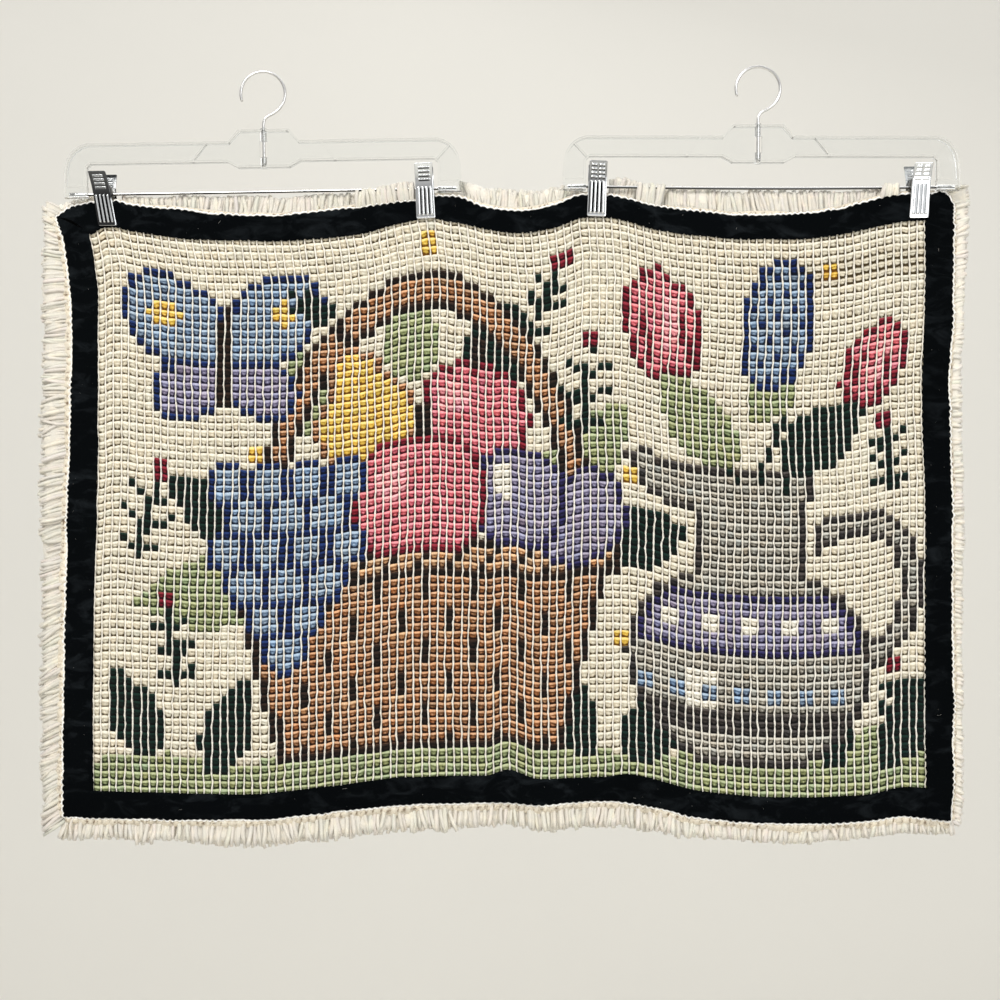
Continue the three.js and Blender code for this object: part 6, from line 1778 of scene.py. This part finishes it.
def spring(name, matrix, material, node):
    """Five turns of wire round the rod, with its two legs out to the jaws."""
    turns, wire_radius, coil = 5.0, 0.62, 2.35
    n = 120
    t = np.linspace(0, 1, n)
    a = 2 * np.pi * turns * t + 0.5
    x = (t - 0.5) * 2 * 3.3
    coil_path = np.stack([x, coil * np.cos(a), coil * np.sin(a)], 1)
    way = lambda k: unit(np.array([0, -math.sin(a[k]), math.cos(a[k])]))
    legs0 = coil_path[0] - way(0) * np.linspace(5.0, 0.4, 6)[:, None]
    legs1 = coil_path[-1] + way(-1) * np.linspace(0.4, 5.0, 6)[:, None]
    legs0[:, 1:] = np.clip(legs0[:, 1:], -4.6, 4.6)
    legs1[:, 1:] = np.clip(legs1[:, 1:], -4.6, 4.6)
    path = turned(np.concatenate([legs0, coil_path, legs1]), *matrix)
    tangent = unit(np.gradient(path, axis=0))
    axis = turned(np.array([[1.0, 0, 0]]), matrix[0], matrix[1])[0]
    one = unit(np.cross(tangent, axis))
    two = np.cross(tangent, one)
    sides = 8
    b = 2 * np.pi * np.arange(sides) / sides
    ring = path[:, None, :] + wire_radius * (np.cos(b)[None, :, None] * one[:, None, :] + np.sin(b)[None, :, None] * two[:, None, :])
    m = len(path)
    at_ring = np.arange(m * sides).reshape(m, sides)
    quads = np.stack([at_ring[:-1], at_ring[1:], np.roll(at_ring[1:], -1, 1), np.roll(at_ring[:-1], -1, 1)], -1).reshape(-1, 4)
    ob = new_mesh(name, place_mm(ring.reshape(-1, 3)), [quads, np.stack([at_ring[0], at_ring[-1, ::-1]])])
    ob.data.materials.append(material)
    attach(ob, "root")
    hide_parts(node)
    return ob


for k, (side, cx, lean, turn, wider) in enumerate(CLIPS, 1):
    h = HANGERS[side]
    local = (cx - h["x"]) / math.cos(rad(h["tilt"]))
    z = h["z"] + local * math.sin(rad(h["tilt"])) + float(rod_height(h, local))
    where = (cx, MID_Y, z)
    clip = (lean, turn, where)
    slope = math.degrees(2 * h["sag"] * local / HANGER["arm_inner"] ** 2)
    look = "pads" if k in (3, 4) else "bars"
    jaw_plate(f"clip{k}_jaw_front", False, clip, chrome, f"clip{k}_front", CLIP["front_ear"], look, CLIP_PAINTED_TONES[k - 1], wider, LEVEL[k - 1])
    jaw_plate(f"clip{k}_jaw_back", True, clip, chrome, f"clip{k}_back", CLIP["back_ear"], look, CLIP_PAINTED_TONES[k - 1], wider, LEVEL[k - 1])
    spring(f"clip{k}_coil", (h["tilt"] + slope, 0, where), spring_steel, f"clip{k}_spring")

# ---- the hangers keep their CAD shape --------------------------------------------------------------------
clear = clear_plastic_material()
for h in HANGERS:
    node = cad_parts[f"hanger_{h['name']}"]
    node = bpy.data.objects[node] if isinstance(node, str) else node
    node.data.materials.clear() if not node.material_slots else None
    if not node.material_slots:
        node.data.materials.append(clear)
    for s in node.material_slots:
        s.link = "OBJECT"
        s.material = clear

# ---- points along the canvas's middle row and down its middle column ---------------------------------------
mid = place(np.linspace(0, 112, 225), 39.0)
up = place(56.0, np.linspace(0, 78, 157))

# ---- camera, stage and light ----------------------------------------------------------------------------------
cam_data = bpy.data.cameras.new("camera")
cam_data.lens, cam_data.sensor_width = 70, 36
cam_data.clip_start, cam_data.clip_end = 0.05, 50
cam = bpy.data.objects.new("camera", cam_data)
bpy.context.scene.collection.objects.link(cam)
cam.location = (-0.00386, -1.6667 - 0.00832, -0.03858)
cam.rotation_euler = (math.pi / 2, 0, 0)
bpy.context.scene.camera = cam


def plane(name, corners, material):
    mesh = bpy.data.meshes.new(name)
    mesh.from_pydata(corners, [], [(0, 1, 2, 3)])
    ob = bpy.data.objects.new(name, mesh)
    bpy.context.scene.collection.objects.link(ob)
    mesh.materials.append(material)
    return ob


def stage_material(name, colour):
    n = Nodes(name)
    soft = n.noise(1.5, 2, 0.5)
    c = n.mix(colour, tuple(v * 0.985 for v in colour), n.ramp(soft, 0.3, 0.7, 0.0, 1.0))
    n.link(c[0], c[1], n.shader, "Base Color")
    n.set(Roughness=0.95, Specular_IOR_Level=0.1)
    return n.material


wall = stage_material("pale_wall", (0.785, 0.765, 0.712))
plane("backdrop", [(-5, 2.6, -1.25), (5, 2.6, -1.25), (5, 2.6, 3.5), (-5, 2.6, 3.5)], wall)
plane("floor", [(-5, -5, -1.25), (5, -5, -1.25), (5, 2.6, -1.25), (-5, 2.6, -1.25)], wall)


def area(name, location, target, size, power, colour=(1, 1, 1)):
    data = bpy.data.lights.new(name, "AREA")
    data.shape = "RECTANGLE"
    data.size, data.size_y = size
    data.energy = power
    data.color = colour
    ob = bpy.data.objects.new(name, data)
    bpy.context.scene.collection.objects.link(ob)
    ob.location = location
    from mathutils import Vector

    ob.rotation_euler = (Vector(target) - Vector(location)).to_track_quat("-Z", "Y").to_euler()
    return ob


area("key", (-0.9, -1.9, 1.7), (0, 0, 0), (1.4, 1.0), 50, (1.0, 0.985, 0.96))
area("fill", (1.6, -2.2, 0.3), (0, 0, 0), (1.4, 1.4), 20, (0.97, 0.985, 1.0))
area("back", (0.4, 1.9, 1.8), (0, 0, 0), (1.6, 1.0), 16)
area("wall_wash", (0, 1.2, 2.6), (0, 2.6, 0.0), (3.0, 0.6), 3)

world = bpy.data.worlds.new("world")
bpy.context.scene.world = world
world.use_nodes = True
tree = world.node_tree
tree.nodes.clear()
out = tree.nodes.new("ShaderNodeOutputWorld")
bg = tree.nodes.new("ShaderNodeBackground")
coord = tree.nodes.new("ShaderNodeTexCoord")
sep = tree.nodes.new("ShaderNodeSeparateXYZ")
ramp = tree.nodes.new("ShaderNodeValToRGB")
tree.links.new(coord.outputs["Generated"], sep.inputs[0])
half_up = tree.nodes.new("ShaderNodeMapRange")
half_up.inputs[1].default_value, half_up.inputs[2].default_value = -1, 1
tree.links.new(sep.outputs[2], half_up.inputs[0])
tree.links.new(half_up.outputs[0], ramp.inputs[0])
ramp.color_ramp.elements[0].position, ramp.color_ramp.elements[0].color = 0.30, (0.30, 0.29, 0.28, 1)
ramp.color_ramp.elements[1].position, ramp.color_ramp.elements[1].color = 0.75, (0.72, 0.73, 0.74, 1)
tree.links.new(ramp.outputs[0], bg.inputs[0])
bg.inputs[1].default_value = 1.12
tree.links.new(bg.outputs[0], out.inputs[0])

view = bpy.context.scene.view_settings
view.view_transform = "Standard"
view.look = "None"

# ---- sizes ----------------------------------------------------------------------------------------------------------
made = {o.name: triangles(o) for o in bpy.data.objects if o.type == "MESH" and not o.name.startswith(("backdrop", "floor")) and o.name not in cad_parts}
print("triangles:", sum(made.values()), {k: v for k, v in made.items() if v > 15000})
